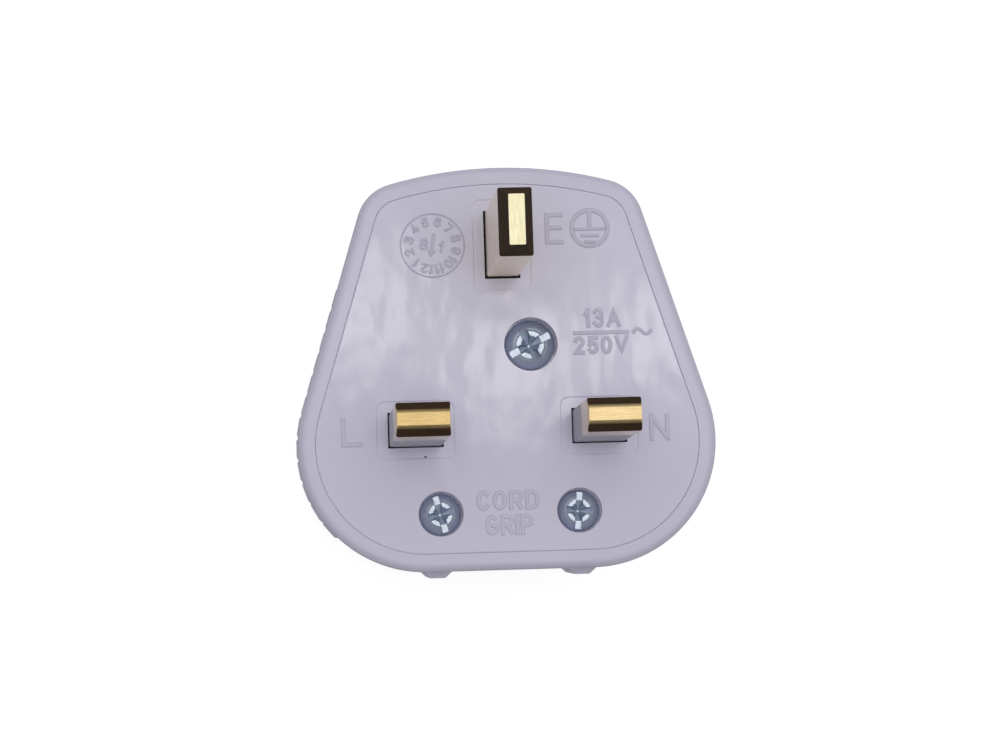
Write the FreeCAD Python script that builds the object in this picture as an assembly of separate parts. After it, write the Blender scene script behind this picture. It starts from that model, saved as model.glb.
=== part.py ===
"""Rewirable three-pin mains plug, fused, lying on its back with the pins up.

Millimetres. +Z is the way the pins point, +Y runs from the cord entry to the earth pin, and the live pin
is on the -X side. The origin is at the middle of the plug's footprint, on the flat back of the cover.
"""

import FreeCAD
import Part

import math
import os

Vector = FreeCAD.Vector

# Housing outline, seen from the pin side
BODY_WIDTH = 50.6
BODY_LENGTH = 48.8
BODY_DEPTH = 24.0
SIDE_LEAN = 17.4
FOOT_CORNER_R = 15.3
CROWN_CORNER_R = 5.5
CROWN_ARC_R = 51.0
LEAST_CORNER_R = 0.3

# Cover moulding
WALL_DRAFT = 1.2
RIM_WIDTH = 2.1
RIM_ROUND = 1.1
BACK_ROUND = 3.6
BACK_WALL = 2.2
LEDGE_WIDTH = 0.8
GRIP_RIB_COUNT = 12
GRIP_RIB_PITCH = 2.7
GRIP_RIB_START = -15.3
GRIP_RIB_LOW = 5.0
GRIP_RIB_HIGH = 20.5
GRIP_RIB_WIDTH = 2.4
GRIP_RIB_PROUD = 0.22
CHEEK_OUTER_WIDTH = 20.9
CHEEK_INNER_WIDTH = 14.1
CHEEK_PROUD = 0.8
CHEEK_LOW = 8.0
ENTRY_COLLAR = 1.6
ENTRY_DEPTH = 3.9
ENTRY_FLARE = 0.7
NUT_TOWER_WALL = 1.5
POST_WALL = 0.9
FUSE_RIB_THICKNESS = 1.4

# Base moulding
PLATE_THICKNESS = 3.2
SEAM_GAP = 0.04
PLATE_EDGE_BEVEL = 0.15
PAD_MARGIN = 1.55
PAD_DEPTH = 0.15
PAD_CORNER_R = 1.1
LIP_THICKNESS = 1.2
LIP_HEIGHT = 2.0
POCKET_WALL = 1.0
POCKET_HEIGHT = 3.0
SCREW_BOSS_HEIGHT = 1.5

# Pins, on the standard 22.2 mm triangle
PIN_SPACING = 22.2
LINE_PINS_FROM_FOOT = 17.1
LINE_PIN_WIDTH = 6.35
LINE_PIN_LENGTH = 17.7
LINE_BEVEL_WIDTH = 1.25
LINE_BEVEL_DEPTH = 1.2
PIN_THICKNESS = 3.975
EARTH_PIN_WIDTH = 7.975
EARTH_PIN_LENGTH = 22.73
EARTH_BEVEL_WIDTH = 1.05
EARTH_BEVEL_DEPTH = 2.3
PIN_EDGE_ROUND = 0.25
SLEEVE_LENGTH = 9.2
SLEEVE_THICKNESS = 0.5
SLEEVE_ROOT = 2.4

# Terminals behind the base plate
SHOULDER = 1.2
TERMINAL_DEPTH = 9.0
WIRE_HOLE_DIAMETER = 2.8
TERMINAL_SCREW_DIAMETER = 3.4
TERMINAL_HEAD_DIAMETER = 5.0
TERMINAL_HEAD_HEIGHT = 1.6
FOOT_THICKNESS = 3.4
LIVE_PILLAR_FROM_PIN = 12.9
LIVE_PILLAR_WIDTH = 4.6
LIVE_PILLAR_LENGTH = 5.6

# Fuse link and its clips
FUSE_DIAMETER = 6.35
FUSE_LENGTH = 25.4
FUSE_BARREL_DIAMETER = 5.7
FUSE_CAP_LENGTH = 5.6
FUSE_CAP_WALL = 0.3
FUSE_DROP = 2.0
FUSE_SIDE_ROOM = 0.9
CLIP_THICKNESS = 0.5
CLIP_WIDTH = 4.0
CLIP_MOUTH_ANGLE = 84.0
CLIP_LIP = 0.9
RIVET_DIAMETER = 1.8
RIVET_HEAD_DIAMETER = 2.8

# Cover screw and its nut
COVER_SCREW_FROM_PINS = 10.0
COVER_SCREW_DIAMETER = 3.9
COVER_HEAD_DIAMETER = 6.1
COVER_HEAD_HEIGHT = 2.0
COVER_SCREW_TURN = -64.0
NUT_DIAMETER = 5.6
NUT_LENGTH = 6.0
NUT_WAIST_LENGTH = 1.2
NUT_WAIST_DEPTH = 0.3
NUT_TOWER_ROOM = 1.45
WASHER_DIAMETER = 7.4
WASHER_THICKNESS = 0.6

# Cord grip
GRIP_SCREW_SPACING = 16.7
GRIP_FROM_PINS = 10.2
GRIP_SCREW_DIAMETER = 2.9
GRIP_HEAD_DIAMETER = 5.05
GRIP_HEAD_HEIGHT = 1.7
LEFT_GRIP_TURN = 15.0
RIGHT_GRIP_TURN = -4.5
GRIP_NUT_WIDTH = 5.0
GRIP_NUT_THICKNESS = 2.0
GRIP_BAR_WIDTH = 5.2
GRIP_BAR_THICKNESS = 4.2
CORD_DIAMETER = 7.0
CORD_ENTRY_DIAMETER = 9.0
GRIP_TOOTH = 0.5
GRIP_GROOVE_COUNT = 3

# Screw recesses, shared by every visible screw
HEAD_SINK = 0.35
HEAD_PLAY = 0.2
HEAD_BEVEL = 0.4
SLOT_WIDTH = 0.95
SLOT_DEPTH = 0.8
CROSS_SPAN = 3.2
CROSS_DEPTH = 1.3

# Clearances
PIN_PLAY = 0.16
FIT = 0.05
PLAY = 0.15
RUN = 0.3


def draft_at(level):
    """How far the cover's side has leant in at a level."""
    return WALL_DRAFT * (1 - level / (BODY_DEPTH - RIM_ROUND))


def side_wall_x(y, level):
    """Where the inner face of the live side's wall stands, at a place along the body and a level."""
    lean = math.radians(SIDE_LEAN)
    inner_r = FOOT_CORNER_R - RIM_WIDTH - LEDGE_WIDTH - draft_at(level)
    rise = y - FOOT_Y - FOOT_CORNER_R
    return FOOT_CORNER_R - BODY_WIDTH / 2 - (inner_r - rise * math.sin(lean)) / math.cos(lean)


# Levels and places worked out from the sizes above
FACE_Z = BODY_DEPTH
LEDGE_Z = FACE_Z - PLATE_THICKNESS
CHEEK_HIGH = LEDGE_Z + CHEEK_PROUD / 2
CHEEK_REACH = CHEEK_PROUD - draft_at(CHEEK_HIGH - CHEEK_PROUD)
CROWN_Y = (BODY_LENGTH + CHEEK_REACH) / 2
FOOT_Y = CROWN_Y - BODY_LENGTH
LINE_Y = FOOT_Y + LINE_PINS_FROM_FOOT
EARTH_Y = LINE_Y + PIN_SPACING
LIVE_X = -PIN_SPACING / 2
NEUTRAL_X = PIN_SPACING / 2
TERMINAL_Z = LEDGE_Z - TERMINAL_DEPTH
FOOT_Z = LEDGE_Z - FOOT_THICKNESS
WIRE_Z = LEDGE_Z - TERMINAL_DEPTH / 2
CLIP_INNER_R = FUSE_DIAMETER / 2 + FIT
CLIP_OUTER_R = CLIP_INNER_R + CLIP_THICKNESS
CLIP_SEAT_WIDTH = FUSE_DIAMETER + 2 * RUN
FUSE_Z = FOOT_Z - CLIP_OUTER_R
FUSE_START_Y = LINE_Y - FUSE_DROP - FUSE_CAP_LENGTH / 2
FUSE_END_Y = FUSE_START_Y + FUSE_LENGTH
LOWER_CLIP_Y = LINE_Y - FUSE_DROP
UPPER_CLIP_Y = FUSE_END_Y - FUSE_CAP_LENGTH / 2
FUSE_X = side_wall_x(UPPER_CLIP_Y + CLIP_WIDTH / 2, FUSE_Z) + FUSE_SIDE_ROOM + CLIP_OUTER_R
LIVE_PILLAR_X = FUSE_X + CLIP_OUTER_R + PLAY + LIVE_PILLAR_WIDTH / 2
LIVE_PILLAR_Y = LINE_Y + LIVE_PILLAR_FROM_PIN
NUT_TOWER_R = NUT_DIAMETER / 2 + NUT_TOWER_WALL
COVER_SCREW_X = LIVE_PILLAR_X + LIVE_PILLAR_WIDTH / 2 + NUT_TOWER_ROOM + NUT_TOWER_R
COVER_SCREW_Y = LINE_Y + COVER_SCREW_FROM_PINS
SCREW_BOSS_Z = LEDGE_Z - SCREW_BOSS_HEIGHT
TOWER_Z = SCREW_BOSS_Z - WASHER_THICKNESS - RUN
GRIP_Y = LINE_Y - GRIP_FROM_PINS
GRIP_X = GRIP_SCREW_SPACING / 2
CORD_Z = LEDGE_Z - CORD_ENTRY_DIAMETER / 2 - PLAY
BAR_TOP_Z = CORD_Z - CORD_DIAMETER / 2 + GRIP_TOOTH
BAR_Z = BAR_TOP_Z - GRIP_BAR_THICKNESS
LINE_BLOCK_WIDTH = LINE_PIN_WIDTH + 2 * SHOULDER
LINE_BLOCK_LENGTH = PIN_THICKNESS + 2 * SHOULDER
EARTH_BLOCK_WIDTH = PIN_THICKNESS + 2 * SHOULDER
EARTH_BLOCK_LENGTH = EARTH_PIN_WIDTH + 2 * SHOULDER
TERMINALS = ("live", "neutral", "earth", "fused_live")


def block(width, length, low, high, x=0.0, y=0.0):
    """An upright box centred on x, y, between two levels."""
    corner = Vector(x - width / 2, y - length / 2, low)
    return Part.makeBox(width, length, high - low, corner)


def post(diameter, low, high, x=0.0, y=0.0):
    """An upright cylinder between two levels."""
    return Part.makeCylinder(diameter / 2, high - low, Vector(x, y, low))


def rounded_block(width, length, radius, low, high, x=0.0, y=0.0):
    """An upright box with rounded corners."""
    box = block(width, length, low, high, x, y)
    return box.makeFillet(radius, upright_edges(box))


def upright_edges(shape):
    """The straight edges of a shape that run along Z."""
    found = []
    for edge in shape.Edges:
        if len(edge.Vertexes) == 2:
            run = edge.Vertexes[1].Point - edge.Vertexes[0].Point
            if abs(run.x) + abs(run.y) < 1e-6:
                found.append(edge)
    return found


def edges_at_level(shape, level):
    """The edges of a shape that lie in the plane z = level."""
    near = 1e-5
    found = []
    for edge in shape.Edges:
        box = edge.BoundBox
        if abs(box.ZMin - level) < near and abs(box.ZMax - level) < near:
            found.append(edge)
    return found


def outline(inset, level):
    """The housing's outline, moved inwards by an inset: a straight foot, two large foot corners, leaning
    sides, two small crown corners and a shallow crown arc, all tangent."""
    lean = math.radians(SIDE_LEAN)
    out = Vector(math.cos(lean), math.sin(lean), 0)
    up = Vector(-math.sin(lean), math.cos(lean), 0)
    foot_r = FOOT_CORNER_R - inset
    corner_r = max(CROWN_CORNER_R - inset, LEAST_CORNER_R)
    crown_r = CROWN_ARC_R - inset
    foot = Vector(BODY_WIDTH / 2 - FOOT_CORNER_R, FOOT_Y + FOOT_CORNER_R, level)
    arc = Vector(0, CROWN_Y - CROWN_ARC_R, level)
    start = foot + out * (foot_r - corner_r) - arc
    along = start.dot(up)
    rise = -along + math.sqrt(along**2 - start.Length**2 + (crown_r - corner_r) ** 2)
    corner = arc + start + up * rise
    reach = (corner - arc).normalize()
    turn = math.atan2(reach.y, reach.x)
    foot_mid = (lean - math.pi / 2) / 2
    corner_mid = (lean + turn) / 2
    right = [
        foot + Vector(0, -foot_r, 0),
        foot + Vector(math.cos(foot_mid), math.sin(foot_mid), 0) * foot_r,
        foot + out * foot_r,
        corner + out * corner_r,
        corner + Vector(math.cos(corner_mid), math.sin(corner_mid), 0) * corner_r,
        arc + reach * crown_r,
    ]
    left = [Vector(-p.x, p.y, p.z) for p in right]
    crown = arc + Vector(0, crown_r, 0)
    edges = [
        Part.LineSegment(left[0], right[0]),
        Part.Arc(right[0], right[1], right[2]),
        Part.LineSegment(right[2], right[3]),
        Part.Arc(right[3], right[4], right[5]),
        Part.Arc(right[5], crown, left[5]),
        Part.Arc(left[5], left[4], left[3]),
        Part.LineSegment(left[3], left[2]),
        Part.Arc(left[2], left[1], left[0]),
    ]
    return Part.Wire([e.toShape() for e in edges])


def outline_prism(inset, low, high):
    """A straight-sided solid of the housing's outline."""
    return Part.Face(outline(inset, low)).extrude(Vector(0, 0, high - low))


def drafted_prism(inset, low, high):
    """A solid of the housing's outline whose sides lean in towards the back, as the mould draws."""
    rims = [outline(inset + draft_at(level), level) for level in (low, high)]
    return Part.makeLoft(rims, True, True)


def side_place(side, distance):
    """A point on one side of the outline and the way out from it. The distance runs up the leaning side
    from its lower end; below zero it runs back round the foot corner."""
    lean = math.radians(SIDE_LEAN)
    bend = lean + min(distance, 0) / FOOT_CORNER_R
    straight = max(distance, 0)
    out = Vector(side * math.cos(bend), math.sin(bend), 0)
    foot = Vector(side * (BODY_WIDTH / 2 - FOOT_CORNER_R), FOOT_Y + FOOT_CORNER_R, 0)
    up = Vector(-side * math.sin(lean), math.cos(lean), 0)
    return foot + out * FOOT_CORNER_R + up * straight, out


def raised_rib(place, out, width, low, high, proud):
    """A rib with sloping sides and ends that stands out of the drafted wall between two levels."""
    along = Vector(-out.y, out.x, 0)
    rims = []
    for step in (-proud, proud):
        corners = []
        for across, level in ((-1, low + step), (1, low + step), (1, high - step), (-1, high - step)):
            sideways = along * (across * (width / 2 - step))
            corners.append(place + sideways + out * (step - draft_at(level)) + Vector(0, 0, level))
        rims.append(Part.makePolygon(corners + corners[:1]))
    return Part.makeLoft(rims, True, True)


def side_grip_ribs(side):
    """The finger ribs on one leaning side of the cover, running front to back."""
    ribs = []
    for number in range(GRIP_RIB_COUNT):
        place, out = side_place(side, GRIP_RIB_START + number * GRIP_RIB_PITCH)
        ribs.append(raised_rib(place, out, GRIP_RIB_WIDTH, GRIP_RIB_LOW, GRIP_RIB_HIGH, GRIP_RIB_PROUD))
    return ribs


def entry_cheeks():
    """Two broad ribs on the foot wall, one each side of the cord entry."""
    width = (CHEEK_OUTER_WIDTH - CHEEK_INNER_WIDTH) / 2
    cheeks = []
    for side in (-1, 1):
        place = Vector(side * (CHEEK_OUTER_WIDTH - width) / 2, FOOT_Y, 0)
        cheeks.append(raised_rib(place, Vector(0, -1, 0), width, CHEEK_LOW, CHEEK_HIGH, CHEEK_PROUD))
    return cheeks


def entry_collar():
    """The thicker wall round the cord entry, inside the cover."""
    width = CORD_ENTRY_DIAMETER + 2 * ENTRY_COLLAR
    low = CORD_Z - width / 2
    return block(width, ENTRY_DEPTH - RIM_WIDTH, low, LEDGE_Z, 0, FOOT_Y + (ENTRY_DEPTH + RIM_WIDTH) / 2)


def entry_hole():
    """The round hole for the cord, flared at its outer mouth."""
    axis = Vector(0, 1, 0)
    radius = CORD_ENTRY_DIAMETER / 2
    mouth = FOOT_Y + draft_at(CORD_Z - radius)
    hole = Part.makeCylinder(radius, FOOT_CORNER_R, Vector(0, mouth - FOOT_CORNER_R / 2, CORD_Z), axis)
    flare = Part.makeCone(radius + ENTRY_FLARE, radius, ENTRY_FLARE, Vector(0, mouth, CORD_Z), axis)
    outside = Vector(0, mouth - CHEEK_PROUD, CORD_Z)
    lead = Part.makeCylinder(radius + ENTRY_FLARE, CHEEK_PROUD, outside, axis)
    return hole.fuse([flare, lead])


def make_cover():
    """The cover shell: drafted sides, round back edge, a ledge that carries the base, the cord entry with
    its collar, the nut tower, hold-down posts over the terminals and a rib that keeps the fuse in place."""
    shell = drafted_prism(0, 0, FACE_Z)
    shell = shell.makeFillet(BACK_ROUND, edges_at_level(shell, 0))
    shell = shell.makeFillet(RIM_ROUND, edges_at_level(shell, FACE_Z))
    shell = shell.fuse(entry_cheeks() + side_grip_ribs(1) + side_grip_ribs(-1))
    inner = RIM_WIDTH + LEDGE_WIDTH
    shell = shell.cut(outline_prism(RIM_WIDTH, LEDGE_Z, FACE_Z + RIM_ROUND))
    shell = shell.cut(drafted_prism(inner, BACK_WALL, LEDGE_Z))

    tower = post(2 * NUT_TOWER_R, 0, TOWER_Z, COVER_SCREW_X, COVER_SCREW_Y)
    posts = [hold_down_post(x, y) for x, y in terminal_places()]
    inside = tower.fuse(posts + [fuse_rib()]).common(drafted_prism(inner, BACK_WALL / 2, FACE_Z))
    shell = shell.fuse([inside, entry_collar()])

    nut_seat = post(NUT_DIAMETER + 2 * FIT, TOWER_Z - NUT_LENGTH, TOWER_Z, COVER_SCREW_X, COVER_SCREW_Y)
    screw_well = post(
        COVER_SCREW_DIAMETER + 2 * RUN, cover_screw_tip() - RUN, TOWER_Z, COVER_SCREW_X, COVER_SCREW_Y
    )
    return shell.cut([nut_seat, screw_well, entry_hole()]).removeSplitter()


def terminal_places():
    """Where the three terminal screws stand: neutral, earth and live."""
    return [(NEUTRAL_X, LINE_Y), (0.0, EARTH_Y), (LIVE_PILLAR_X, LIVE_PILLAR_Y)]


def hold_down_post(x, y):
    """A tube on the cover that stops a terminal from being pushed back and clears its screw's head."""
    bore = TERMINAL_HEAD_DIAMETER + 2 * RUN
    tube = post(bore + 2 * POST_WALL, 0, TERMINAL_Z - RUN, x, y)
    return tube.cut(post(bore, BACK_WALL, TERMINAL_Z, x, y))


def fuse_rib():
    """An upright rib with a hollow top edge, just short of the middle of the fuse."""
    middle = (FUSE_START_Y + FUSE_END_Y) / 2
    rib = block(FUSE_DIAMETER, FUSE_RIB_THICKNESS, 0, FUSE_Z, FUSE_X, middle)
    room = FUSE_BARREL_DIAMETER / 2 + RUN
    start = Vector(FUSE_X, FUSE_START_Y, FUSE_Z)
    return rib.cut(Part.makeCylinder(room, FUSE_LENGTH, start, Vector(0, 1, 0)))


def make_base():
    """The pin plate: flush in the cover's rim, with shallow pads and slots for the pins, screw recesses,
    and behind it a locating lip, pockets for the terminals, screw bosses and the cord saddle."""
    plate = outline_prism(RIM_WIDTH + SEAM_GAP, LEDGE_Z, FACE_Z)
    plate = plate.makeChamfer(PLATE_EDGE_BEVEL, edges_at_level(plate, FACE_Z))

    lip_inset = RIM_WIDTH + LEDGE_WIDTH + draft_at(LEDGE_Z - POCKET_HEIGHT) + PLAY
    lip = outline_prism(lip_inset, LEDGE_Z - LIP_HEIGHT, LEDGE_Z)
    lip = lip.cut(outline_prism(lip_inset + LIP_THICKNESS, LEDGE_Z - LIP_HEIGHT, LEDGE_Z))
    lip = lip.cut(block(CHEEK_OUTER_WIDTH, FOOT_CORNER_R, LEDGE_Z - LIP_HEIGHT, LEDGE_Z, 0, FOOT_Y))
    pocket_walls = [terminal_envelope(name, PLAY + POCKET_WALL, POCKET_HEIGHT) for name in TERMINALS]
    cover_boss = post(WASHER_DIAMETER, SCREW_BOSS_Z, LEDGE_Z, COVER_SCREW_X, COVER_SCREW_Y)
    pockets = pocket_walls[0].fuse(pocket_walls[1:]).common(outline_prism(lip_inset, 0, LEDGE_Z))
    body = plate.fuse([lip, pockets, cover_boss, cord_saddle()] + grip_bosses())

    cuts = [terminal_envelope(name, PLAY, TERMINAL_DEPTH) for name in TERMINALS]
    for width, length, x, y in pin_places():
        cuts.append(block(width + 2 * PIN_PLAY, length + 2 * PIN_PLAY, LEDGE_Z, FACE_Z, x, y))
        cuts.append(pin_pad(width, length, x, y))
    cuts += screw_recess(
        COVER_HEAD_DIAMETER, COVER_HEAD_HEIGHT, COVER_SCREW_DIAMETER, COVER_SCREW_X, COVER_SCREW_Y
    )
    for side in (-1, 1):
        cuts += screw_recess(
            GRIP_HEAD_DIAMETER, GRIP_HEAD_HEIGHT, GRIP_SCREW_DIAMETER, side * GRIP_X, GRIP_Y
        )
    return body.cut(cuts).removeSplitter()


def pin_places():
    """Each pin's width, length and centre: live, neutral and earth."""
    return [
        (LINE_PIN_WIDTH, PIN_THICKNESS, LIVE_X, LINE_Y),
        (LINE_PIN_WIDTH, PIN_THICKNESS, NEUTRAL_X, LINE_Y),
        (PIN_THICKNESS, EARTH_PIN_WIDTH, 0.0, EARTH_Y),
    ]


def pin_pad(width, length, x, y):
    """The shallow sunk pad round a pin, with sloping sides."""
    floor = FACE_Z - PAD_DEPTH
    width += 2 * PAD_MARGIN
    length += 2 * PAD_MARGIN
    pad = rounded_block(width, length, PAD_CORNER_R, floor, FACE_Z + PAD_DEPTH, x, y)
    return pad.makeChamfer(PAD_DEPTH, edges_at_level(pad, floor))


def screw_recess(head, height, shank, x, y):
    """The counterbore for a screw's head and the clear hole for its shank."""
    seat = FACE_Z - HEAD_SINK - height
    return [
        post(head + 2 * HEAD_PLAY, seat, FACE_Z + HEAD_SINK, x, y),
        post(shank + 2 * PLAY, 0, FACE_Z, x, y),
    ]


def terminal_envelope(name, margin, depth):
    """The space of a terminal behind the plate, grown sideways by a margin, to a depth."""
    low = LEDGE_Z - depth
    if name == "live":
        shape = lower_foot(margin, low)
    elif name == "neutral":
        shape = block(
            LINE_BLOCK_WIDTH + 2 * margin, LINE_BLOCK_LENGTH + 2 * margin, low, LEDGE_Z, NEUTRAL_X, LINE_Y
        )
    elif name == "earth":
        shape = block(
            EARTH_BLOCK_WIDTH + 2 * margin, EARTH_BLOCK_LENGTH + 2 * margin, low, LEDGE_Z, 0, EARTH_Y
        )
    else:
        shape = upper_foot(margin, low).fuse(live_bridge(margin, low))
    return shape


def lower_foot(margin, low):
    """The live pin's foot, which lies under the pin and under the whole of the lower clip."""
    left = min(LIVE_X - LINE_BLOCK_WIDTH / 2, FUSE_X - CLIP_SEAT_WIDTH / 2)
    right = max(LIVE_X + LINE_BLOCK_WIDTH / 2, FUSE_X + CLIP_SEAT_WIDTH / 2)
    low_y = LOWER_CLIP_Y - CLIP_WIDTH / 2 - SHOULDER
    high_y = LINE_Y + LINE_BLOCK_LENGTH / 2
    return block(
        right - left + 2 * margin,
        high_y - low_y + 2 * margin,
        low,
        LEDGE_Z,
        (left + right) / 2,
        (low_y + high_y) / 2,
    )


def upper_foot(margin, low):
    """The part of the fused terminal's foot that lies under the upper clip."""
    length = CLIP_WIDTH + 2 * SHOULDER
    return block(CLIP_SEAT_WIDTH + 2 * margin, length + 2 * margin, low, LEDGE_Z, FUSE_X, UPPER_CLIP_Y)


def live_bridge(margin, low):
    """The part of the fused terminal's foot that joins the clip's seat to the wire pillar."""
    left = FUSE_X - LINE_BLOCK_WIDTH / 2
    right = LIVE_PILLAR_X + LIVE_PILLAR_WIDTH / 2
    low_y = LIVE_PILLAR_Y - LIVE_PILLAR_LENGTH / 2
    high_y = max(LIVE_PILLAR_Y + LIVE_PILLAR_LENGTH / 2, UPPER_CLIP_Y - CLIP_WIDTH / 2)
    return block(
        right - left + 2 * margin,
        high_y - low_y + 2 * margin,
        low,
        LEDGE_Z,
        (left + right) / 2,
        (low_y + high_y) / 2,
    )


def cord_saddle():
    """The toothed block on the plate that the cord is pressed against, hollowed to the cord's own curve."""
    width = GRIP_SCREW_SPACING - GRIP_HEAD_DIAMETER
    saddle = block(width, GRIP_BAR_WIDTH, CORD_Z + CORD_DIAMETER / 4, LEDGE_Z, 0, GRIP_Y)
    return saddle.cut(cord_groove())


def cord_groove():
    """A row of grooves round the cord's axis that leave pointed teeth between them."""
    axis = Vector(0, 1, 0)
    start = Vector(0, GRIP_Y - GRIP_BAR_WIDTH / 2, CORD_Z)
    pitch = GRIP_BAR_WIDTH / GRIP_GROOVE_COUNT
    bite = CORD_DIAMETER / 2 - GRIP_TOOTH
    grooves = []
    for number in range(GRIP_GROOVE_COUNT):
        low = start + axis * (number * pitch)
        grooves.append(Part.makeCone(bite, CORD_DIAMETER / 2, pitch / 2, low, axis))
        grooves.append(Part.makeCone(CORD_DIAMETER / 2, bite, pitch / 2, low + axis * (pitch / 2), axis))
    return grooves[0].fuse(grooves[1:])


def grip_bosses():
    """The bosses under the plate that guide the two cord grip screws."""
    low = CORD_Z
    size = GRIP_SCREW_DIAMETER + 2 * (PLAY + POCKET_WALL)
    return [post(size, low, LEDGE_Z, side * GRIP_X, GRIP_Y) for side in (-1, 1)]


def bevelled_blade(width, length, low, tip, bevel_x, bevel_y, depth, x, y):
    """A flat pin with rounded long edges and a tip that narrows by a bevel on each side."""
    shoulder = tip - depth
    blade = block(width, length, low, shoulder, x, y)
    blade = blade.makeFillet(PIN_EDGE_ROUND, upright_edges(blade))
    base = block(width, length, 0, depth, x, y)
    base = base.makeFillet(PIN_EDGE_ROUND, upright_edges(base))
    foot = [f for f in base.Faces if f.BoundBox.ZMax < depth / 2][0].OuterWire
    top = foot.copy()
    stretch = FreeCAD.Matrix()
    stretch.move(Vector(-x, -y, 0))
    stretch.scale(Vector(1 - 2 * bevel_x / width, 1 - 2 * bevel_y / length, 1))
    stretch.move(Vector(x, y, depth))
    top = top.transformGeometry(stretch)
    end = Part.makeLoft([foot, top], True, True)
    end.translate(Vector(0, 0, shoulder))
    return blade.fuse(end)


def line_blade(x):
    """A live or neutral blade, necked down where the sleeve goes round it."""
    tip = FACE_Z + LINE_PIN_LENGTH
    side_bevel = PIN_EDGE_ROUND / 2
    blade = bevelled_blade(
        LINE_PIN_WIDTH,
        PIN_THICKNESS,
        FOOT_Z,
        tip,
        side_bevel,
        LINE_BEVEL_WIDTH,
        LINE_BEVEL_DEPTH,
        x,
        LINE_Y,
    )
    low, high = FACE_Z - SLEEVE_ROOT, FACE_Z + SLEEVE_LENGTH
    room = block(2 * LINE_PIN_WIDTH, 2 * PIN_THICKNESS, low, high, x, LINE_Y)
    return blade.cut(room.cut(sleeve_neck(x, low, high)))


def sleeve_neck(x, low, high):
    """The core of a line pin inside its sleeve."""
    return block(
        LINE_PIN_WIDTH - 2 * SLEEVE_THICKNESS, PIN_THICKNESS - 2 * SLEEVE_THICKNESS, low, high, x, LINE_Y
    )


def make_sleeve(x):
    """The insulating sleeve moulded round the root of a line pin, flush with the metal beyond it."""
    low, high = FACE_Z - SLEEVE_ROOT, FACE_Z + SLEEVE_LENGTH
    sleeve = rounded_block(LINE_PIN_WIDTH, PIN_THICKNESS, PIN_EDGE_ROUND, low, high, x, LINE_Y)
    return sleeve.cut(sleeve_neck(x, low, high))


def wire_terminal(shape, x, y, across):
    """A terminal with its cross hole for the wire and its tapped hole for the screw."""
    reach = BODY_WIDTH
    wire = Part.makeCylinder(
        WIRE_HOLE_DIAMETER / 2, reach, Vector(x, y, WIRE_Z) - across * (reach / 2), across
    )
    return shape.cut([wire, post(TERMINAL_SCREW_DIAMETER + 2 * FIT, TERMINAL_Z, WIRE_Z, x, y)])


def make_neutral_pin():
    """The neutral pin with its wire terminal."""
    root = block(LINE_BLOCK_WIDTH, LINE_BLOCK_LENGTH, TERMINAL_Z, LEDGE_Z, NEUTRAL_X, LINE_Y)
    pin = root.fuse(line_blade(NEUTRAL_X)).removeSplitter()
    return wire_terminal(pin, NEUTRAL_X, LINE_Y, Vector(0, 1, 0))


def make_earth_pin():
    """The longer earth pin with its wire terminal."""
    root = block(EARTH_BLOCK_WIDTH, EARTH_BLOCK_LENGTH, TERMINAL_Z, LEDGE_Z, 0, EARTH_Y)
    blade = bevelled_blade(
        PIN_THICKNESS,
        EARTH_PIN_WIDTH,
        FOOT_Z,
        FACE_Z + EARTH_PIN_LENGTH,
        EARTH_BEVEL_WIDTH,
        EARTH_BEVEL_WIDTH,
        EARTH_BEVEL_DEPTH,
        0,
        EARTH_Y,
    )
    return wire_terminal(root.fuse(blade).removeSplitter(), 0, EARTH_Y, Vector(1, 0, 0))


def make_live_pin():
    """The live pin, whose foot carries the lower fuse clip."""
    foot = lower_foot(0, FOOT_Z)
    return foot.fuse(line_blade(LIVE_X)).removeSplitter().cut(rivet(LOWER_CLIP_Y, FIT))


def make_live_terminal():
    """The fused live terminal: a foot under the upper fuse clip and a pillar for the wire beside it."""
    foot = upper_foot(0, FOOT_Z).fuse(live_bridge(0, FOOT_Z))
    pillar = block(
        LIVE_PILLAR_WIDTH, LIVE_PILLAR_LENGTH, TERMINAL_Z, LEDGE_Z, LIVE_PILLAR_X, LIVE_PILLAR_Y
    )
    terminal = foot.fuse(pillar).removeSplitter()
    terminal = wire_terminal(terminal, LIVE_PILLAR_X, LIVE_PILLAR_Y, Vector(0, 1, 0))
    return terminal.cut(rivet(UPPER_CLIP_Y, FIT))


def make_terminal_screws():
    """The three slotted screws that clamp the wires."""
    screws = []
    for x, y in terminal_places():
        head_low = TERMINAL_Z - PLAY - TERMINAL_HEAD_HEIGHT
        head = post(TERMINAL_HEAD_DIAMETER, head_low, TERMINAL_Z - PLAY, x, y)
        slot = block(SLOT_WIDTH, 2 * TERMINAL_HEAD_DIAMETER, head_low, head_low + SLOT_DEPTH, x, y)
        shank = post(TERMINAL_SCREW_DIAMETER, TERMINAL_Z - PLAY, WIRE_Z, x, y)
        screws.append(head.cut(slot).fuse(shank).removeSplitter())
    return Part.makeCompound(screws)


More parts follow.
